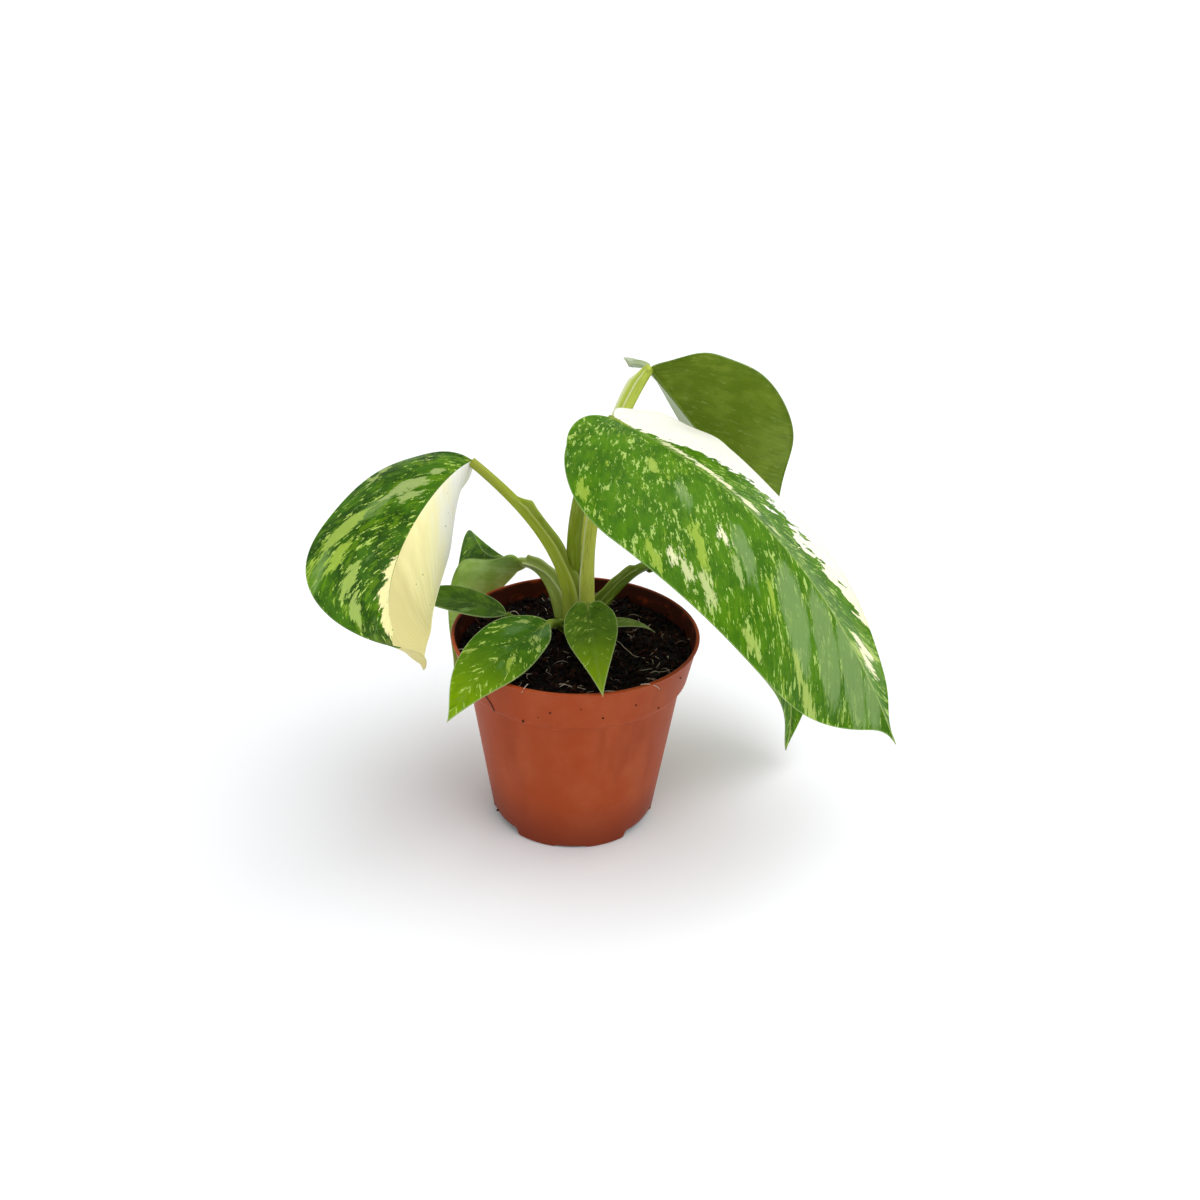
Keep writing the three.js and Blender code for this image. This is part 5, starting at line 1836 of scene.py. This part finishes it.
def leaves() -> list[Leaf]:
    """The plant's leaves, the two in front first and the small scale leaf last.

    Returns:
        The leaves.
    """
    return [
        left_leaf(),
        right_leaf(),
        Leaf(
            "leaf_back",
            LeafBlade(
                midrib=((33, 64, 213), (34, 64, 212), (68, 64, 170), (106, 105, 108)),
                facing=((0.76, 1.05, 0.46), (-0.17, 0.31, -0.16)),
                half_width=(53, 64), fold=((-1, 1), (27, 76)),
                outline=Outline((-0.02, 0.13), 0.48, 0.4, 0.24, 0.32, 0, 0.05), ripple=(0.8, 4, 90),
                rolled=2.2,
            ),
            LeafPaint(
                under="#637c18", under_pale="#788e28", pale="#9cb05c",
                # The second half is painted pale greyish green on both faces.
                cream_from=(NO_CREAM, ((0, -0.3), (0.3, -0.02), (0.7, 0.04), (1, 0.3))),
                cream="#b2bc98", yellow="#98a974", white="#a3af8c", rend=30,
                streaks=0.4, flecks=0.4, line_share=0.4, seed=37,
            ),
            Petiole(((5, 10, 98.5), (4, 13, 130), (3, 34, 172), (33, 64, 213)), 4.8, 3.3, 2.5,
                    Wing(1, 2.4, 1, 1.4)),
            PetiolePaint(foot="#ccd45a", green="#d4da5e", top="#b8c84e", edge="#e4e8cc", seed=3),
        ),
        Leaf(
            "leaf_low_right",
            LeafBlade(
                midrib=((36, 47, 114), (59, 58, 113), (125, 52, 81), (113, 34, 12)),
                facing=((0.02, 0.15, 0.92), (0.78, -0.67, 0.17)),
                half_width=(36, 37), fold=((14, 15), (4, 16)), curl=((-19, -13), (-17, -19)),
                outline=Outline((0.07, 0.04), 0.62, 0.36, 0.24, 0.3, 0.05), ripple=(0.8, 4, 0),
            ),
            LeafPaint(under="#6c8326", under_pale="#7f9536", streaks=0.6, line_share=0.5, seed=51),
            Petiole(((8, 16, 99.5), (15, 18, 110), (25, 36, 116), (36, 47, 114)), 3.6, 3, 2.6,
                    Wing(0.8, 2.4, 1)),
            PetiolePaint(green="#5b7014", top="#66801f", edge="#95a552", seed=4),
        ),
        Leaf(
            "leaf_rear_left",
            LeafBlade(
                midrib=((-30, 59, 108), (-31, 54, 102), (-56, 64, 82), (-61, 10, 70)),
                facing=((-0.58, -0.32, 0.47), (-0.4, 0.46, 0.07)),
                half_width=(35, 31), fold=((54, 41), (62, 56)),
                outline=Outline((0.07, 0.07), 0.59, 0.36, 0.22, 0.25), ripple=(0.5, 3, 0),
            ),
            # Its underside is painted much paler than the other leaves': partly its own colour, partly
            # painted light standing in for light that shines through the leaf.
            LeafPaint(deep="#35560f", mid="#55762a", grey_and_sheen_colour="#86a060", under="#96b456", under_pale="#b4cc80",
                      streaks=0.6, flecks=0.3, line_share=0.3, glow=0.8, seed=63),
            Petiole(((-7, 16, 99.5), (-10, 18, 114), (-17, 36, 119), (-30, 59, 108)), 4, 3.4, 2.6,
                    Wing(0.9, 3.6, -1, 0.9)),
            PetiolePaint(green="#83963e", top="#9aac50", edge="#c5cf9a", groove="#7d9140", seed=5),
        ),
        Leaf(
            "leaf_narrow_left",
            LeafBlade(
                midrib=((-34, 4, 106), (-46, 4, 111), (-66, 6, 115), (-86, 8, 113)),
                facing=((0, -0.1, 1), (-0.1, -0.1, 1)),
                half_width=(11, 11), fold=((5, 5), (5, 5)), ripple=(0.3, 2, 0), rows=90, columns=18,
                outline=Outline((-0.05, -0.05), 0.5, 0.5, 0.3, 0.25),
            ),
            LeafPaint(deep="#2d4c02", mid="#426404", bright="#5f8018", streaks=-0.5, flecks=-0.5,
                      greyness=0.4, line_share=0.1, margin_share=0.6, seed=71),
            Petiole(((-6.5, 9.5, 99.5), (-15, 6, 99), (-27, 4, 101), (-34, 4, 106)), 2.2, 1.9, 1.6,
                    Wing(0.4, 0.8, 1)),
            PetiolePaint(green="#66801f", top="#5d7a24", seed=6),
        ),
        Leaf(
            "leaf_front_left",
            LeafBlade(
                midrib=((-12, -20, 115), (-31, -31, 108), (-44, -49, 105), (-56, -67, 88)),
                facing=((-0.22, -0.22, 0.92), (-0.39, -0.7, 0.5)),
                half_width=(20, 18), fold=((2, -1), (15, -1)), curl=((3, -14), (-2, -13)),
                outline=Outline((-0.04, -0.04), 0.54, tip_width=0.11), ripple=(0.4, 3, 0),
                rows=110, columns=24,
            ),
            LeafPaint(
                deep="#2f5c02", mid="#426e06", bright="#557f0e", grey_and_sheen_colour="#5a8048", tip="#80a400",
                tip_share=0.9,
                patches=(Patch(0, 0.3, 0.5, 2, 3, 0.3), Patch(1, 0.42, 0.5, 1.6, 4, 0.3),
                         Patch(1, 0.62, 0.5, 1.5, 4, 0.45), Patch(0, 0.62, 0.8, 1.2, 4, 0.6)),
                grey_and_sheen_patches=(Patch(1, 0.3, 0.4, 4, 5), Patch(0, 0.45, 0.4, 4, 4)),
                streaks=-0.3, flecks=0.8, line_share=0.1, margin_share=0.6, tear=16,
                seed=83),
            Petiole(((-6, 3, 100), (-8, -1, 105), (-9, -12, 111), (-12, -20, 115)), 2.6, 2.2, 1.8,
                    Wing(0.5, 1, -1)),
            PetiolePaint(green="#66801f", top="#7d9430", seed=7),
        ),
        Leaf(
            "leaf_front",
            LeafBlade(
                midrib=((6, -13, 121), (6, -24, 116), (9, -45, 118), (14, -67, 103)),
                facing=((-0.08, -0.38, 0.93), (0.02, -0.79, 0.51)),
                half_width=(12, 13), fold=((0, 5), (3, 4)), curl=((-15, -7), (-7, -3)),
                outline=Outline((0.13, 0.13), 0.62, 0.34), ripple=(0.3, 3, 0), rows=100, columns=22,
            ),
            LeafPaint(deep="#3e620a", mid="#587e18", bright="#698a24", grey_and_sheen_colour="#6a8a50", tip="#7e9c04",
                      tip_share=0.95, streaks=0.0, flecks=0.6, greyness=0.2, line_share=0.12,
                      margin_share=0.65, seed=97),
            Petiole(((2.5, 4.5, 99.5), (4, 1, 108), (5, -7, 116), (6, -13, 121)), 2.6, 2.1, 1.7,
                    Wing(0.4, 1, 1)),
            PetiolePaint(green="#66801f", top="#7d9430", seed=8),
        ),
        Leaf(
            "cataphyll",
            LeafBlade(
                midrib=((8, 6, 100), (18, 3, 105), (31, 4, 105), (39, 4, 98)),
                facing=((0, -0.3, 1), (0.3, -0.3, 1)),
                half_width=(3.4, 3.4), fold=((10, 0), (10, 0)), curl=((-25, -25), (-25, -25)),
                outline=Outline((0, 0), 0.9, 0.3, tip=0.2), rows=60, columns=10,
            ),
            LeafPaint(deep="#526a1c", mid="#6a8434", bright="#82994a", grey_and_sheen_colour="#8a9c66", margin="#b5c08c",
                      streaks=-0.5, flecks=-0.5, greyness=0.3, line_share=0.3, margin_share=0.8, seed=101),
            slot="cataphyll_tissue",
        ),
    ]


# The studio


@dataclass
class Studio:
    """A pale floor, an even white surround, one very broad light from above on the right, and the camera."""

    target: tuple[float, float, float] = (11.5, 0, 117.3)
    elevation: float = 27.3
    roll: float = 1.45
    distance: float = 700
    image_size: float = 1200
    focal_pixels: float = 1454
    sensor: float = 36
    floor_size: float = 24000
    surround: float = 0.66
    light_from: tuple[float, float, float] = (0.5, -0.1, 1)
    light_strength: float = 2.0
    light_breadth: float = 70  # degrees across, as an overhead softbox
    floor_colour: str = "#f8fafd"

    def camera(self) -> None:
        """Sets the camera at the elevation above the floor, looking along +Y, turned a little clockwise."""
        e, c = math.radians(self.elevation), math.radians(self.roll)
        right = np.array([1.0, 0.0, 0.0])
        back = np.array([0.0, -math.cos(e), math.sin(e)])
        up = np.cross(back, right)
        across = math.cos(c) * right + math.sin(c) * up
        upward = -math.sin(c) * right + math.cos(c) * up
        place = (np.array(self.target) + back * self.distance) * METRES
        data = bpy.data.cameras.new("camera")
        data.sensor_width = self.sensor
        data.lens = self.focal_pixels / self.image_size * self.sensor
        data.clip_end = 100
        camera = bpy.data.objects.new("camera", data)
        frame = np.eye(4)
        frame[:3, 0], frame[:3, 1], frame[:3, 2], frame[:3, 3] = across, upward, back, place
        camera.matrix_world = Matrix(frame.tolist())
        bpy.context.scene.collection.objects.link(camera)
        bpy.context.scene.camera = camera

    def floor(self) -> None:
        """A flat matt white board under the pot."""
        half = self.floor_size / 2
        points = np.array([[-half, -half, 0], [half, -half, 0], [half, half, 0], [-half, half, 0]])
        material, tree = new_material("Photographer's board, matt white")
        finish_material(tree, {
            "Base Color": self.floor_colour, "Roughness": 0.9, "Specular IOR Level": 0.0,
        })
        Surface(points, [(np.array([[0, 1, 2, 3]]), 0)]).piece("studio_floor", [material])

    def light(self) -> None:
        """Adds the broad overhead light, as parallel rays spread over its breadth."""
        data = bpy.data.lights.new("softbox", "SUN")
        data.energy = self.light_strength
        data.angle = math.radians(self.light_breadth)
        lamp = bpy.data.objects.new("softbox", data)
        back = unit(np.array(self.light_from, float))
        side = unit(np.cross([0, 1, 0], back))
        frame = np.eye(4)
        frame[:3, 0], frame[:3, 1], frame[:3, 2] = side, np.cross(back, side), back
        frame[:3, 3] = back
        lamp.matrix_world = Matrix(frame.tolist())
        bpy.context.scene.collection.objects.link(lamp)

    def build(self) -> None:
        """Sets up camera, floor, surround and light."""
        self.camera()
        self.floor()
        world = bpy.data.worlds.new("surround")
        world.use_nodes = True
        tree = world.node_tree
        tree.nodes.clear()
        glow = add_node(tree, "ShaderNodeBackground", {"Color": (1, 1, 1, 1), "Strength": self.surround})
        add_node(tree, "ShaderNodeOutputWorld", {"Surface": glow})
        bpy.context.scene.world = world
        self.light()
        bpy.context.scene.view_settings.view_transform = "Standard"


def main() -> None:
    """Builds the plant and the studio."""
    logging.basicConfig(level=logging.INFO, format="%(name)s: %(message)s")
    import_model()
    pot = NurseryPot()
    pot.build()
    soil = PottingSoil(pot)
    soil.build()
    Litter(pot, soil).build()
    Crown().build()
    for leaf in leaves():
        leaf.build()
    Studio().build()


if __name__ == "__main__":
    main()
